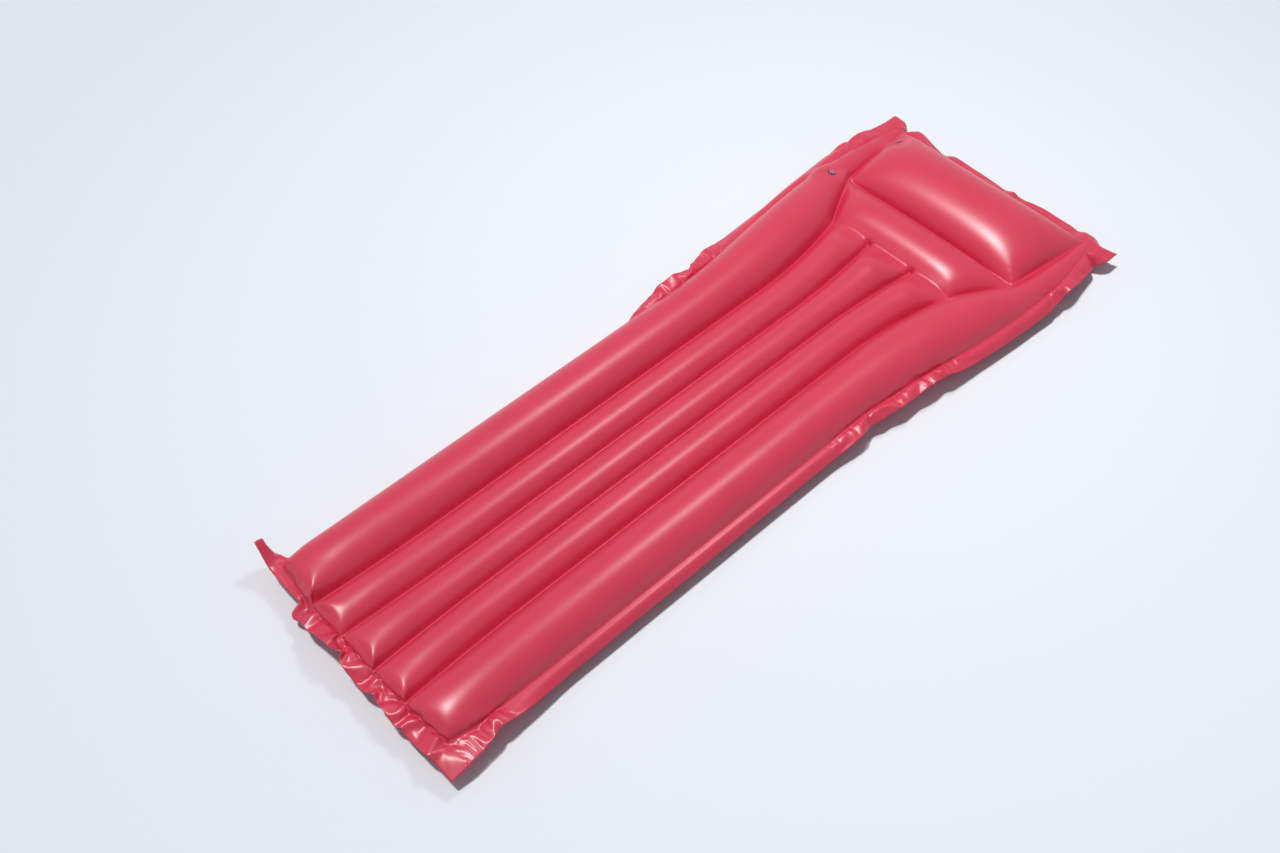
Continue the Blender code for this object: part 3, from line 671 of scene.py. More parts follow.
def set_cloth(film):
    """Cloth settings of thin vinyl film, for lengths in metres and one frame as the time unit."""
    cloth = film.modifiers.new("air", "CLOTH")
    cloth.point_cache.frame_start, cloth.point_cache.frame_end = 1, CLOTH_FRAMES
    cloth.collision_settings.use_collision = False
    settings = cloth.settings
    settings.quality = CLOTH_QUALITY
    settings.mass = FILM_MASS
    settings.tension_stiffness = settings.compression_stiffness = STRETCH_STIFFNESS
    settings.shear_stiffness = SHEAR_STIFFNESS
    settings.bending_stiffness = BEND_STIFFNESS
    settings.tension_damping = settings.compression_damping = STRETCH_DAMPING
    settings.shear_damping = STRETCH_DAMPING
    settings.air_damping = AIR_DAMPING
    settings.use_pressure = True
    settings.uniform_pressure_force = AIR_PRESSURE
    settings.effector_weights.gravity = 0.0
    settings.vertex_group_pressure = "air"
    settings.vertex_group_mass = "hold"
    settings.shrink_min, settings.shrink_max = -MOST_SLACK, 0.0
    settings.vertex_group_shrink = "taut"
    return cloth


def blow_up(points, faces, groups):
    """Points of the film after the simulation."""
    mesh = bpy.data.meshes.new("film")
    mesh.from_pydata(points.tolist(), [], faces.tolist())
    film = add_object("film", mesh)
    for name, weights in groups.items():
        weigh(film, name, weights)
    set_cloth(film)
    scene = bpy.context.scene
    for number in range(1, CLOTH_FRAMES + 1):
        scene.frame_set(number)
    graph = bpy.context.evaluated_depsgraph_get()
    result = film.evaluated_get(graph).to_mesh()
    moved = np.empty(3 * len(points), dtype=np.float32)
    result.vertices.foreach_get("co", moved)
    film.evaluated_get(graph).to_mesh_clear()
    bpy.data.objects.remove(film)
    scene.frame_set(1)
    return moved.reshape(-1, 3).astype(float)


own = ~welded.ravel()
count = ROWS * COLUMNS
below = np.arange(count)
below[own] = count + np.arange(own.sum())
upper = middle_film.reshape(-1, 3)
lower = upper * (1.0, 1.0, -1.0)
film_points = np.concatenate([upper, lower[own]])
under_quads = below[quads]
two_layers = ~welded.ravel()[quads].all(axis=1)
film_faces = np.concatenate([quads, under_quads[two_layers][:, ::-1]])

inward = np.minimum(-past_side, np.minimum(station, LENGTH - station))
hold = FILM_HOLD * ease(inward / HOLD_DEPTH)
hold = np.where(welded, WELD_HOLD, hold)
hold = np.where(column == SEAM_COLUMN, SEAM_HOLD, hold)
hold = np.where((row == FOOT_SEAM_ROW) | (row == HEAD_SEAM_ROW), END_HOLD, hold)
least_hold = np.where(past_foot > 0.0, FOOT_SLACK_HOLD, SLACK_HOLD)
hold = np.where(on_flange, FLANGE_HOLD * np.maximum(1.0 - slack / FREE_SLACK, least_hold), hold).ravel()
taut = (1.0 - slack / MOST_SLACK).ravel()
groups = {
    "hold": np.concatenate([hold, hold[own]]),
    "air": np.concatenate([own, own[own]]).astype(float),
    "taut": np.concatenate([taut, taut[own]]),
}
film_points = blow_up(film_points, film_faces, groups)
print("film points:", len(film_points), "from", round(film_points[:, 2].min(), 4),
      "to", round(film_points[:, 2].max(), 4))

# %% [markdown]
# ## Two sheets from one cloth
# The simulated cloth is a middle surface. Each sheet lies 0.35 mm outside it, so that the two never
# share a face where they are welded, and gets its own thickness inwards from a Solidify modifier.
# The mattress stands on the floor, so the lower sheet is pressed flat there.

# %% Lay both sheets round the middle surface
REST_CUT = 0.0005
GAP = 0.0003
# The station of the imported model's origin, halfway between its outer edges
MIDDLE = 0.856
SHEET_OFFSET, TOP_FLOOR_SPACE = 0.00035, 0.0008
SEAM_HEIGHT = SIDE_TUBE_CROWN - REST_CUT + GAP / 2 + FILM


def point_normals(points):
    """Normals of a grid of points, from the slopes along its rows and columns."""
    down, along = np.gradient(points, axis=0), np.gradient(points, axis=1)
    normals = np.cross(down, along)
    return normals / np.maximum(np.linalg.norm(normals, axis=-1, keepdims=True), 1e-12)


film_points = film_points + (-MIDDLE, 0.0, SEAM_HEIGHT)
top_points = film_points[:count].reshape(ROWS, COLUMNS, 3)
bottom_points = film_points[below].reshape(ROWS, COLUMNS, 3)
top_points = top_points + SHEET_OFFSET * point_normals(top_points)
bottom_points = bottom_points - SHEET_OFFSET * point_normals(bottom_points)
bottom_points[..., 2] = np.maximum(bottom_points[..., 2], 0.0)
top_points[..., 2] = np.maximum(top_points[..., 2], TOP_FLOOR_SPACE)
print("top of the pillow, in mm:", round(1000 * top_points[..., 2].max(), 1))

# %% [markdown]
# ## The valves' places
# A pinch valve sits in a flat disc of film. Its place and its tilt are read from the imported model,
# from the axis of the joint that pulls its stem and the mesh of its base, so that the film always
# fits the moulding.

# %% Find each valve's own axes
COLLAR_RISE, RIM_DEPTH = 0.0002, 1e-5


def node_points(name):
    mesh = frame["nodes"][name].data
    points = np.empty(3 * len(mesh.vertices), dtype=np.float32)
    mesh.vertices.foreach_get("co", points)
    return points.reshape(-1, 3).astype(float)


def joint_axis(name):
    joints = frame["record"]["behaviour"]["joints"]
    return Vector(next(joint["axis"] for joint in joints if joint["name"] == name)).normalized()


def valve_axes(name):
    """+Z out of the film, +X towards the strap, the origin on the film's outer face."""
    axis = joint_axis(name + "_stem_slide")
    points = node_points(name + "_valve_base")
    heights = points @ np.array(axis)
    rim = points[heights > heights.max() - RIM_DEPTH]
    centre = Vector((rim.max(axis=0) + rim.min(axis=0)) / 2) - axis * COLLAR_RISE
    strap = Vector((-1.0, 0.0, 0.0))
    strap = (strap - axis * strap.dot(axis)).normalized()
    axes = Matrix((strap, axis.cross(strap), axis)).transposed().to_4x4()
    axes.translation = centre
    return axes


valves = {name: valve_axes(name) for name in ("body", "pillow")}
for name, axes in valves.items():
    print(name, "valve at", [round(v, 4) for v in axes.translation])

# %% [markdown]
# ## Lay the film flat at the valves and cut its holes
# Within a disc the film takes the valve's plane exactly, and further out it eases back to the
# tube. The faces over the hole are then taken out of the sheet, and two round rings of new vertices
# fill the space up to the collar.

# %% Build a sheet with its valve holes
PATCH_RADIUS, PATCH_FADE = 0.017, 0.040
HOLE_RADIUS = 0.0105
HOLE_RING = 0.0130
CUT_RADIUS, BORDER_RADIUS = 0.0150, 0.0600


def press_flat(points, axes):
    local = to_local(points, axes)
    radius = np.hypot(local[:, 0], local[:, 1])
    near = (abs(local[:, 2]) < PATCH_FADE) & (radius < PATCH_RADIUS + PATCH_FADE)
    share = (1.0 - ease((radius - PATCH_RADIUS) / PATCH_FADE)) * near
    return points - (share * local[:, 2])[:, None] * np.array(axes.to_3x3().col[2])


def to_local(points, axes):
    inverse = np.array(axes.inverted())
    return points @ inverse[:3, :3].T + inverse[:3, 3]


def open_hole(shape, axes):
    """Take the faces over the hole out, and rim it with two rings."""
    inverse = axes.inverted()
    local = {vertex: inverse @ vertex.co for vertex in shape.verts}
    near = {vertex for vertex, place in local.items()
            if place.xy.length < CUT_RADIUS and abs(place.z) < CUT_RADIUS}
    doomed = [face for face in shape.faces if any(vertex in near for vertex in face.verts)]
    bmesh.ops.delete(shape, geom=doomed, context="FACES")
    lonely = [vertex for vertex in shape.verts if not vertex.link_faces]
    bmesh.ops.delete(shape, geom=lonely, context="VERTS")
    border = [edge for edge in shape.edges
              if edge.is_boundary and (inverse @ edge.verts[0].co).length < BORDER_RADIUS]
    rings = {}
    for edge in border:
        for vertex in edge.verts:
            if vertex in rings:
                continue
            place = (inverse @ vertex.co).xy.normalized()
            ring = [shape.verts.new(axes @ (place * radius).to_3d()) for radius in (HOLE_RING, HOLE_RADIUS)]
            rings[vertex] = [vertex] + ring
    for edge in border:
        loop = edge.link_loops[0]
        first, second = rings[loop.vert], rings[loop.link_loop_next.vert]
        for outer, inner in ((0, 1), (1, 2)):
            shape.faces.new([second[outer], first[outer], first[inner], second[inner]])


flat_place = np.stack([row_place[:, None] + 0.0 * reach, reach, 0.0 * reach], axis=-1).ravel()
flange_share = np.where(on_flange, 1.0, 0.0).ravel()


def build_sheet(name, points, face_list, holes):
    """Sheet object that keeps its grid numbers, its flat place and its flange share as attributes."""
    mesh = bpy.data.meshes.new(name)
    mesh.from_pydata(points.reshape(-1, 3).tolist(), [], face_list.tolist())
    mesh.attributes.new("grid_number", "INT", "POINT").data.foreach_set("value", np.arange(count))
    mesh.attributes.new("flat_place", "FLOAT_VECTOR", "POINT").data.foreach_set("vector", flat_place)
    mesh.attributes.new("flange", "FLOAT", "POINT").data.foreach_set("value", flange_share)
    shape = bmesh.new()
    shape.from_mesh(mesh)
    for axes in holes:
        open_hole(shape, axes)
    shape.to_mesh(mesh)
    shape.free()
    mesh.shade_smooth()
    sheet = add_object(name, mesh)
    smooth = sheet.modifiers.new("smooth", "SUBSURF")
    smooth.levels = smooth.render_levels = 1
    wall = sheet.modifiers.new("wall", "SOLIDIFY")
    wall.thickness = FILM
    wall.offset = -1.0
    return sheet


top_flat = top_points.reshape(-1, 3)
for axes in valves.values():
    top_flat = press_flat(top_flat, axes)
top_film = build_sheet("top_film", top_flat, quads, valves.values())
bottom_film = build_sheet("bottom_film", bottom_points, quads[:, ::-1], [])
for sheet in (top_film, bottom_film):
    print(sheet.name, len(sheet.data.polygons), "faces, first normal",
          [round(v, 2) for v in sheet.data.polygons[len(quads) // 2].normal])

# %% [markdown]
# ## Boots: the soft cones under the valves
# Each stem hangs on a thin cone that turns over when the stem is pushed in. It is a turned shape, so
# Geometry Nodes make it: a line of rings along the valve's axis, whose radius follows a rule with a
# few soft folds. Its named inputs are the sizes of the moulding.

# %% Node tree for a folded boot
BOOT_STEPS, BOOT_SIDES = 28, 48


def end_tree(tree, given, surface):
    """Give the surface its finish, make it real and hand it out."""
    nodes, links = tree.nodes, tree.links
    paint = nodes.new("GeometryNodeSetMaterial")
    links.new(surface, paint.inputs["Geometry"])
    links.new(given.outputs["Finish"], paint.inputs["Material"])
    real = nodes.new("GeometryNodeRealizeInstances")
    links.new(paint.outputs[0], real.inputs["Geometry"])
    result = nodes.new("NodeGroupOutput")
    links.new(real.outputs[0], result.inputs[0])


def boot_tree():
    tree = bpy.data.node_groups.new("boot_rule", "GeometryNodeTree")
    face = tree.interface
    face.new_socket("Geometry", in_out="OUTPUT", socket_type="NodeSocketGeometry")
    sizes = {"Top Radius": 0.0097, "Root Radius": 0.0073, "Depth": 0.0120,
             "Fold Depth": 0.0003, "Folds": 3.0, "Wall": 0.0004}
    for name, value in sizes.items():
        socket = face.new_socket(name, in_out="INPUT", socket_type="NodeSocketFloat")
        socket.default_value = value
    face.new_socket("Finish", in_out="INPUT", socket_type="NodeSocketMaterial")
    nodes, links = tree.nodes, tree.links
    given = nodes.new("NodeGroupInput")

    def maths(operation, first, second=None):
        node = nodes.new("ShaderNodeMath")
        node.operation = operation
        for slot, value in enumerate((first, second)):
            if value is None:
                continue
            if isinstance(value, (int, float)):
                node.inputs[slot].default_value = value
            else:
                links.new(value, node.inputs[slot])
        return node.outputs[0]

    tube = nodes.new("GeometryNodeMeshCylinder")
    tube.fill_type = "NONE"
    tube.inputs["Vertices"].default_value = BOOT_SIDES
    tube.inputs["Side Segments"].default_value = BOOT_STEPS
    tube.inputs["Radius"].default_value = 1.0
    tube.inputs["Depth"].default_value = 1.0
    place = nodes.new("GeometryNodeInputPosition")
    split = nodes.new("ShaderNodeSeparateXYZ")
    links.new(place.outputs[0], split.inputs[0])
    share = maths("ADD", split.outputs["Z"], 0.5)
    span = maths("SUBTRACT", given.outputs["Top Radius"], given.outputs["Root Radius"])
    cone = maths("ADD", maths("MULTIPLY", span, share), given.outputs["Root Radius"])
    turn = maths("MULTIPLY", maths("MULTIPLY", share, given.outputs["Folds"]), 2.0 * math.pi)
    fold = maths("MULTIPLY", maths("SINE", turn), given.outputs["Fold Depth"])
    radius = maths("ADD", cone, fold)
    join = nodes.new("ShaderNodeCombineXYZ")
    links.new(maths("MULTIPLY", split.outputs["X"], radius), join.inputs["X"])
    links.new(maths("MULTIPLY", split.outputs["Y"], radius), join.inputs["Y"])
    drop = maths("SUBTRACT", share, 1.0)
    links.new(maths("MULTIPLY", drop, given.outputs["Depth"]), join.inputs["Z"])
    settle = nodes.new("GeometryNodeSetPosition")
    links.new(tube.outputs["Mesh"], settle.inputs["Geometry"])
    links.new(join.outputs[0], settle.inputs["Position"])
    end_tree(tree, given, settle.outputs[0])
    return tree


boot_rule = boot_tree()
print("boot tree has", len(boot_rule.nodes), "nodes")

# %% [markdown]
# ## Boots on both valves
# The tree makes the boot as an open skin. A Solidify step gives it its wall, and the evaluated
# result becomes a plain mesh, because the finished file keeps no node trees on its pieces.

# %% Make the boots
BOOT_TOP, BOOT_ROOT = -0.0017, -0.0140
BOOT_RADII = (0.00975, 0.00715)
BOOT_WALL = 0.0004


def follow_rule(maker, tree, values):
    """Give an object a tree, and set its named inputs through their sockets' identifiers."""
    rule = maker.modifiers.new("rule", "NODES")
    rule.node_group = tree
    for item in tree.interface.items_tree:
        if item.item_type == "SOCKET" and item.in_out == "INPUT" and item.name in values:
            rule[item.identifier] = values[item.name]


def plain_mesh(maker, name):
    """The evaluated result of an object as a new object with no modifiers."""
    graph = bpy.context.evaluated_depsgraph_get()
    mesh = bpy.data.meshes.new_from_object(maker.evaluated_get(graph))
    mesh.name = name
    bpy.data.objects.remove(maker)
    return add_object(name, mesh)


def face_outwards(mesh):
    shape = bmesh.new()
    shape.from_mesh(mesh)
    bmesh.ops.recalc_face_normals(shape, faces=shape.faces[:])
    shape.to_mesh(mesh)
    shape.free()
    mesh.shade_smooth()


def make_boot(name, axes, finish):
    maker = add_object(name + "_maker", bpy.data.meshes.new(name + "_maker"))
    follow_rule(maker, boot_rule, {"Top Radius": BOOT_RADII[0], "Root Radius": BOOT_RADII[1],
                                   "Depth": BOOT_TOP - BOOT_ROOT, "Finish": finish})
    wall = maker.modifiers.new("wall", "SOLIDIFY")
    wall.thickness = BOOT_WALL
    wall.offset = 0.0
    boot = plain_mesh(maker, name)
    boot.data.transform(axes @ Matrix.Translation((0.0, 0.0, BOOT_TOP)))
    face_outwards(boot.data)
    return boot


clear_finish = bpy.data.materials.new("clear_vinyl_finish")
strap_finish = bpy.data.materials.new("strap_vinyl_finish")
red_finish = bpy.data.materials.new("red_vinyl_finish")
boots = {name: make_boot(name + "_valve_soft_boot", axes, clear_finish) for name, axes in valves.items()}
print("boot faces:", {name: len(boot.data.polygons) for name, boot in boots.items()})

# %% [markdown]
# ## Straps that keep the caps
# A strap is a short flat ribbon that leaves the stem's lip, turns up beside the collar and comes
# back to the cap's edge. It is a section swept round a half circle, with a thin waist in the middle
# where it bends as the cap opens.

# %% Sweep the straps
STRAP_START, STRAP_END, STRAP_OUTSIDE = 0.0062, 0.0065, 0.0083
STRAP_LOW, STRAP_HIGH = -0.0002, 0.0011
STRAP_WIDTH, STRAP_THICKNESS, STRAP_WAIST = 0.0030, 0.0006, 0.6
STRAP_TURNS, STRAP_BEVEL, STRAP_SHARP = 12, 0.00012, 40


def strap_line():
    """Points from the stem's lip, out and round, and back to the cap, as (reach, height)."""
    bend = (STRAP_HIGH - STRAP_LOW) / 2
    centre = STRAP_OUTSIDE - STRAP_THICKNESS / 2 - bend
    line = [(STRAP_START, STRAP_LOW)]
    for step in range(STRAP_TURNS + 1):
        turn = math.pi * (step / STRAP_TURNS - 0.5)
        line.append((centre + bend * math.cos(turn), STRAP_LOW + bend + bend * math.sin(turn)))
    return line + [(STRAP_END, STRAP_HIGH)]


def make_strap(name, axes, finish):
    shape = bmesh.new()
    line = [Vector(point) for point in strap_line()]
    sections = []
    for number, point in enumerate(line):
        along = line[min(number + 1, len(line) - 1)] - line[max(number - 1, 0)]
        square = Vector((-along[1], along[0])).normalized() * STRAP_THICKNESS / 2
        waist = 1.0 - (1.0 - STRAP_WAIST) * math.sin(math.pi * number / (len(line) - 1))
        section = []
        for side, edge in ((-1, -1), (-1, 1), (1, 1), (1, -1)):
            corner = point + square * side * waist
            section.append(shape.verts.new((corner[0], edge * STRAP_WIDTH / 2, corner[1])))
        sections.append(section)
    for first, second in zip(sections, sections[1:]):
        for k in range(4):
            after = (k + 1) % 4
            shape.faces.new([first[k], first[after], second[after], second[k]])
    shape.faces.new(sections[0])
    shape.faces.new(sections[-1])
    bmesh.ops.recalc_face_normals(shape, faces=shape.faces[:])
    long_edges = [edge for edge in shape.edges if abs((edge.verts[0].co - edge.verts[1].co).y) < 1e-6]
    bmesh.ops.bevel(shape, geom=long_edges, offset=STRAP_BEVEL, segments=2, profile=0.5, affect="EDGES")
    mesh = bpy.data.meshes.new(name)
    shape.to_mesh(mesh)
    shape.free()
    mesh.transform(axes)
    mesh.materials.append(finish)
    mesh.shade_smooth()
    mesh.set_sharp_from_angle(angle=math.radians(STRAP_SHARP))
    return add_object(name, mesh)


straps = {name: make_strap(name + "_valve_cap_strap", axes, strap_finish) for name, axes in valves.items()}
print("strap faces:", {name: len(strap.data.polygons) for name, strap in straps.items()})

# %% [markdown]
# ## Beads beside the welds
# The hot bar that fuses the sheets squeezes a hair of vinyl out at both sides of each weld, and in
# sunlight that bead is the thin bright line in every valley. Each bead follows the film, so its
# path is read from the smoothed sheet, and Geometry Nodes turn the paths into fine round rods.

# %% Node tree for a bead
BEAD_RADIUS, BEAD_SIDES = 0.0003, 6


def bead_tree():
    tree = bpy.data.node_groups.new("bead_rule", "GeometryNodeTree")
    face = tree.interface
    face.new_socket("Geometry", in_out="OUTPUT", socket_type="NodeSocketGeometry")
    face.new_socket("Geometry", in_out="INPUT", socket_type="NodeSocketGeometry")
    face.new_socket("Radius", in_out="INPUT", socket_type="NodeSocketFloat").default_value = BEAD_RADIUS
    face.new_socket("Sides", in_out="INPUT", socket_type="NodeSocketInt").default_value = BEAD_SIDES
    face.new_socket("Finish", in_out="INPUT", socket_type="NodeSocketMaterial")
    nodes, links = tree.nodes, tree.links
    given = nodes.new("NodeGroupInput")
    curve = nodes.new("GeometryNodeMeshToCurve")
    links.new(given.outputs["Geometry"], curve.inputs["Mesh"])
    ring = nodes.new("GeometryNodeCurvePrimitiveCircle")
    links.new(given.outputs["Sides"], ring.inputs["Resolution"])
    links.new(given.outputs["Radius"], ring.inputs["Radius"])
    sweep = nodes.new("GeometryNodeCurveToMesh")
    sweep.inputs["Fill Caps"].default_value = True
    links.new(curve.outputs["Curve"], sweep.inputs["Curve"])
    links.new(ring.outputs["Curve"], sweep.inputs["Profile Curve"])
    end_tree(tree, given, sweep.outputs["Mesh"])
    return tree


bead_rule = bead_tree()
print("bead tree has", len(bead_rule.nodes), "nodes")

# %% [markdown]
# ## Where the beads run
# Both edges of every weld get a bead, on the top sheet and on the bottom one. A line of grid points
# is all that a bead needs. The smoothed sheet keeps its first points at their old numbers, so each
# number gives a place on the finished film.

# %% Run the beads along the welds
def grid_line(rows, columns):
    """Numbers of the grid points along a row or a column."""
    rows, columns = np.broadcast_arrays(rows, columns)
    return (rows * COLUMNS + columns).ravel()


def bead_lines():
    """Both edges of every weld, as lists of grid point numbers."""
    middle = HALF_COLUMNS
    lines = []
    for sign in (-1, 1):
        for k in (0, 1):
            inner = np.arange(FOOT_SEAM_ROW, BAR_ROWS[0] + 1)
            outer = np.arange(FOOT_SEAM_ROW, HEAD_SEAM_ROW + 1)
            lines.append(grid_line(inner, middle + sign * INNER_COLUMNS[k]))
            lines.append(grid_line(outer, middle + sign * OUTER_COLUMNS[k]))
        for k in (SEAM_COLUMN, BAND_COLUMN):
            lines.append(grid_line(np.arange(FOOT_SEAM_ROW, HEAD_SEAM_ROW + 1), middle + sign * k))
    for k in PILLOW_WELD_ROWS:
        lines.append(grid_line(k, np.arange(middle - OUTER_COLUMNS[0], middle + OUTER_COLUMNS[0] + 1)))
    for k in (FOOT_SEAM_ROW, FOOT_SEAM_ROW - 1, HEAD_SEAM_ROW, HEAD_SEAM_ROW + 1):
        lines.append(grid_line(k, np.arange(middle - SEAM_COLUMN, middle + SEAM_COLUMN + 1)))
    for k in BAR_ROWS:
        for sign in (-1, 1):
            held = np.flatnonzero(bar_reach[k] & (np.sign(reach[k]) == sign))
            lines.append(grid_line(k, held))
    return lines


def smoothed_places(sheet):
    """Place of each grid point on the smoothed outer face of a sheet."""
    sheet.modifiers["wall"].show_viewport = False
    graph = bpy.context.evaluated_depsgraph_get()
    result = sheet.evaluated_get(graph).to_mesh()
    points = np.empty(3 * len(result.vertices), dtype=np.float32)
    result.vertices.foreach_get("co", points)
    sheet.evaluated_get(graph).to_mesh_clear()
    sheet.modifiers["wall"].show_viewport = True
    numbers = np.empty(len(sheet.data.vertices), dtype=np.int32)
    sheet.data.attributes["grid_number"].data.foreach_get("value", numbers)
    places = np.full((count, 3), np.nan)
    places[numbers] = points.reshape(-1, 3)[:len(numbers)]
    return places


def make_beads(name, sheet, finish):
    places = smoothed_places(sheet)
    points, edges = [], []
    for line in bead_lines():
        start = len(points)
        points += places[line].tolist()
        edges += [(start + step, start + step + 1) for step in range(len(line) - 1)]
    mesh = bpy.data.meshes.new(name + "_path")
    mesh.from_pydata(points, edges, [])
    maker = add_object(name + "_path", mesh)
    follow_rule(maker, bead_rule, {"Radius": BEAD_RADIUS, "Sides": BEAD_SIDES, "Finish": finish})
    beads = plain_mesh(maker, name)
    face_outwards(beads.data)
    return beads


beads = [make_beads("top_weld_beads", top_film, red_finish),
         make_beads("bottom_weld_beads", bottom_film, red_finish)]
print("bead faces:", [len(piece.data.polygons) for piece in beads])

# %% [markdown]
# ## Red vinyl
# Plain film is matte, with a fine grain that spreads the sun into broad soft bands. The flange has
# been under the hot bar, so it is a little smoother. The grain reads the place in the flat film,
# which is stored on the mesh, so it follows every fold.

# %% Finish of the red film
RED_VINYL = (0.662, 0.034, 0.084, 1.0)
DEEP_RED_VINYL = (0.582, 0.024, 0.062, 1.0)
FILM_ROUGHNESS, FLANGE_ROUGHNESS = 0.35, 0.34
GRAIN_SCALE, GRAIN_STRENGTH, GRAIN_HEIGHT = 1400.0, 0.12, 0.0002
MOTTLE_SCALE, FILM_SPECULAR = 14.0, 0.62


def shader_nodes(material):
    material.use_nodes = True
    nodes = material.node_tree.nodes
    return nodes, material.node_tree.links, nodes["Principled BSDF"]


nodes, links, shader = shader_nodes(red_finish)
place = nodes.new("ShaderNodeAttribute")
place.attribute_name = "flat_place"
edge = nodes.new("ShaderNodeAttribute")
edge.attribute_name = "flange"
mottle = nodes.new("ShaderNodeTexNoise")
mottle.inputs["Scale"].default_value = MOTTLE_SCALE
mottle.inputs["Detail"].default_value = 3.0
links.new(place.outputs["Vector"], mottle.inputs["Vector"])
colour = nodes.new("ShaderNodeMix")
colour.data_type = "RGBA"
colour.inputs["A"].default_value = RED_VINYL
colour.inputs["B"].default_value = DEEP_RED_VINYL
links.new(mottle.outputs["Fac"], colour.inputs["Factor"])
links.new(colour.outputs["Result"], shader.inputs["Base Color"])
rough = nodes.new("ShaderNodeMapRange")
rough.inputs["To Min"].default_value = FILM_ROUGHNESS
rough.inputs["To Max"].default_value = FLANGE_ROUGHNESS
links.new(edge.outputs["Fac"], rough.inputs["Value"])
links.new(rough.outputs["Result"], shader.inputs["Roughness"])
grain = nodes.new("ShaderNodeTexNoise")
grain.inputs["Scale"].default_value = GRAIN_SCALE
grain.inputs["Detail"].default_value = 2.0
links.new(place.outputs["Vector"], grain.inputs["Vector"])
bump = nodes.new("ShaderNodeBump")
bump.inputs["Strength"].default_value = GRAIN_STRENGTH
bump.inputs["Distance"].default_value = GRAIN_HEIGHT
links.new(grain.outputs["Fac"], bump.inputs["Height"])
links.new(bump.outputs["Normal"], shader.inputs["Normal"])
shader.inputs["Specular IOR Level"].default_value = FILM_SPECULAR
for sheet in (top_film, bottom_film):
    sheet.data.materials.append(red_finish)
print("red film roughness", FILM_ROUGHNESS, "and flange", FLANGE_ROUGHNESS)

# %% [markdown]
# ## Clear vinyl mouldings
# The valves are soft clear vinyl, which looks faintly violet and holds a bright glint. Transmission
# with a little roughness gives that, and a slow noise keeps the surface from looking like glass.

# %% Finish of the valves
CLEAR_VINYL = (0.86, 0.24, 0.44, 1.0)
CAP_VINYL = (0.76, 0.21, 0.43, 1.0)
CLEARNESS, VINYL_IOR = 0.55, 1.52
CLEAR_ROUGHNESS, CAP_ROUGHNESS, ROUGHNESS_RANGE = 0.16, 0.20, (0.7, 1.3)
RIPPLE_SCALE, RIPPLE_STRENGTH, RIPPLE_HEIGHT = 260.0, 0.15, 0.0003


def set_clear(material, tint, roughness):
    nodes, links, shader = shader_nodes(material)
    shader.inputs["Base Color"].default_value = tint
    shader.inputs["Transmission Weight"].default_value = CLEARNESS
    shader.inputs["IOR"].default_value = VINYL_IOR
    place = nodes.new("ShaderNodeTexCoord")
    noise = nodes.new("ShaderNodeTexNoise")
    noise.inputs["Scale"].default_value = RIPPLE_SCALE
    links.new(place.outputs["Object"], noise.inputs["Vector"])
    rough = nodes.new("ShaderNodeMapRange")
    rough.inputs["To Min"].default_value = roughness * ROUGHNESS_RANGE[0]
    rough.inputs["To Max"].default_value = roughness * ROUGHNESS_RANGE[1]
    links.new(noise.outputs["Fac"], rough.inputs["Value"])
    links.new(rough.outputs["Result"], shader.inputs["Roughness"])
    bump = nodes.new("ShaderNodeBump")
    bump.inputs["Strength"].default_value = RIPPLE_STRENGTH
    bump.inputs["Distance"].default_value = RIPPLE_HEIGHT
    links.new(noise.outputs["Fac"], bump.inputs["Height"])
    links.new(bump.outputs["Normal"], shader.inputs["Normal"])


set_clear(clear_finish, CLEAR_VINYL, CLEAR_ROUGHNESS)
set_clear(strap_finish, CAP_VINYL, CAP_ROUGHNESS)
for name, node in frame["nodes"].items():
    if "_valve_" in name:
        finish = strap_finish if name.endswith("_cap") else clear_finish
        for slot in range(len(node.data.materials)):
            node.material_slots[slot].link = "OBJECT"
            node.material_slots[slot].material = finish
print("clear mouldings:", sorted(name for name in frame["nodes"] if "_valve_" in name))

# %% [markdown]
# ## Floor and light
# The photograph has high sun and a bright sky. A distant soft lamp stands for the sun and makes the
# bright spots at the tubes' ends and on the pillow. A near lamp over the head end makes the broad
# faint bands in the middle of the tubes, because a near lamp's reflection fades away from one place.
# The world stands for the sky, and a plain pale floor takes the shadow. Past the floor's edge the
# camera sees a pale backdrop, and so do the film's gloss and the light that passes the clear vinyl.

# %% Set the floor and the light
FLOOR_SIZE = 30.0
FLOOR_COLOUR, FLOOR_ROUGHNESS = (0.80, 0.83, 0.86, 1.0), 0.8
SKY_COLOUR = (0.86, 0.91, 1.0, 1.0)
SKY_STRENGTH = 0.27
BACKDROP_COLOUR = (0.665, 0.700, 0.745, 1.0)
SUN_FROM, SUN_STRENGTH, SUN_WIDTH = (-0.13, 0.18, 0.97), 2.05, 5.0
NEAR_LAMP_PLACE, NEAR_LAMP_AIM = (0.57, 0.14, 1.90), (0.0, 0.0, 0.05)
NEAR_LAMP_POWER, NEAR_LAMP_SIZE = 9.5, 0.45

floor_mesh = bpy.data.meshes.new("floor")
half_floor = FLOOR_SIZE / 2
corners = [(-half_floor, -half_floor, 0), (half_floor, -half_floor, 0),
           (half_floor, half_floor, 0), (-half_floor, half_floor, 0)]
floor_mesh.from_pydata(corners, [], [(0, 1, 2, 3)])
floor = add_object("floor", floor_mesh)
floor_finish = bpy.data.materials.new("floor_finish")
nodes, links, shader = shader_nodes(floor_finish)
shader.inputs["Base Color"].default_value = FLOOR_COLOUR
shader.inputs["Roughness"].default_value = FLOOR_ROUGHNESS
floor_mesh.materials.append(floor_finish)

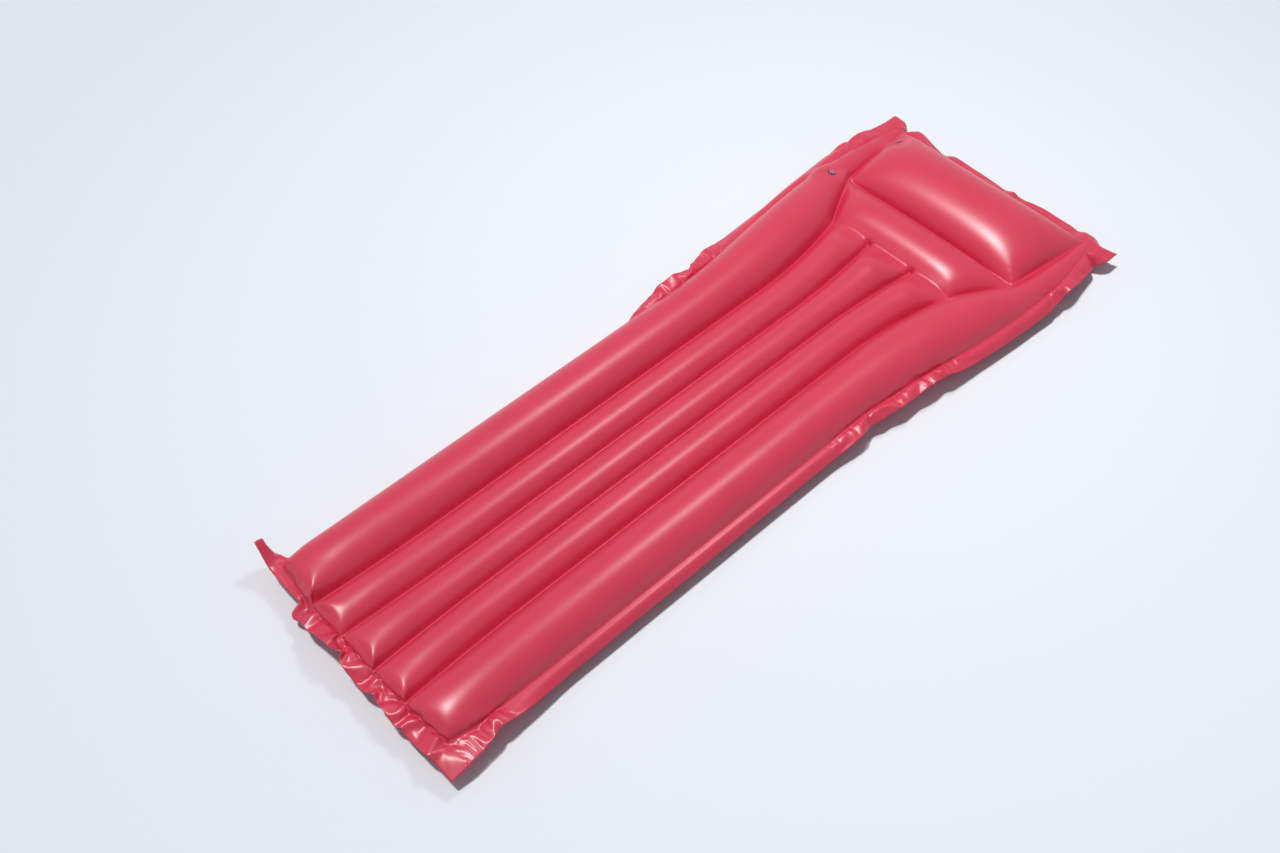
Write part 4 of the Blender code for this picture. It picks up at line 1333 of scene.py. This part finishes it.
world = bpy.data.worlds.new("sky")
world.use_nodes = True
nodes, links = world.node_tree.nodes, world.node_tree.links
sky = nodes["Background"]
sky.inputs["Color"].default_value = SKY_COLOUR
sky.inputs["Strength"].default_value = SKY_STRENGTH
backdrop = nodes.new("ShaderNodeBackground")
backdrop.inputs["Color"].default_value = BACKDROP_COLOUR
seen_by = nodes.new("ShaderNodeLightPath")
sees_backdrop = seen_by.outputs["Is Camera Ray"]
for ray in ("Is Glossy Ray", "Is Transmission Ray"):
    either = nodes.new("ShaderNodeMath")
    either.operation = "MAXIMUM"
    links.new(sees_backdrop, either.inputs[0])
    links.new(seen_by.outputs[ray], either.inputs[1])
    sees_backdrop = either.outputs[0]
choice = nodes.new("ShaderNodeMixShader")
links.new(sees_backdrop, choice.inputs["Fac"])
links.new(sky.outputs[0], choice.inputs[1])
links.new(backdrop.outputs[0], choice.inputs[2])
links.new(choice.outputs[0], nodes["World Output"].inputs["Surface"])
bpy.context.scene.world = world


def add_lamp(name, kind, strength, comes_from):
    """A lamp that shines against the direction that its light comes from."""
    lamp = add_object(name, bpy.data.lights.new(name, kind))
    lamp.data.energy = strength
    lamp.rotation_euler = Vector(comes_from).to_track_quat("Z", "Y").to_euler()
    lamp.visible_camera = False
    return lamp


sun_lamp = add_lamp("sun_lamp", "SUN", SUN_STRENGTH, SUN_FROM)
sun_lamp.data.angle = math.radians(SUN_WIDTH)
near_lamp_way = Vector(NEAR_LAMP_PLACE) - Vector(NEAR_LAMP_AIM)
near_lamp = add_lamp("near_lamp", "AREA", NEAR_LAMP_POWER, near_lamp_way)
near_lamp.location = NEAR_LAMP_PLACE
near_lamp.data.shape = "DISK"
near_lamp.data.size = NEAR_LAMP_SIZE
bpy.context.scene.view_settings.view_transform = "Standard"
print("lamps:", sun_lamp.name, near_lamp.name, "and sky", SKY_STRENGTH)

# %% [markdown]
# ## Tie the films to the mattress
# The films and their beads ride on the mattress. The imported sheets, boots and straps are hidden,
# and the new boots and straps keep their places in the world.

# %% Ride and hide
for sheet, node in ((top_film, "top_sheet"), (bottom_film, "bottom_sheet")):
    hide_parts(node)
    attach(sheet, "mattress")
for piece in beads:
    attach(piece, "mattress")
for name, axes in valves.items():
    boot, strap = boots[name], straps[name]
    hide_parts(name + "_valve_boot")
    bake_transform(boot)
    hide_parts(name + "_valve_strap")
    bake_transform(strap)
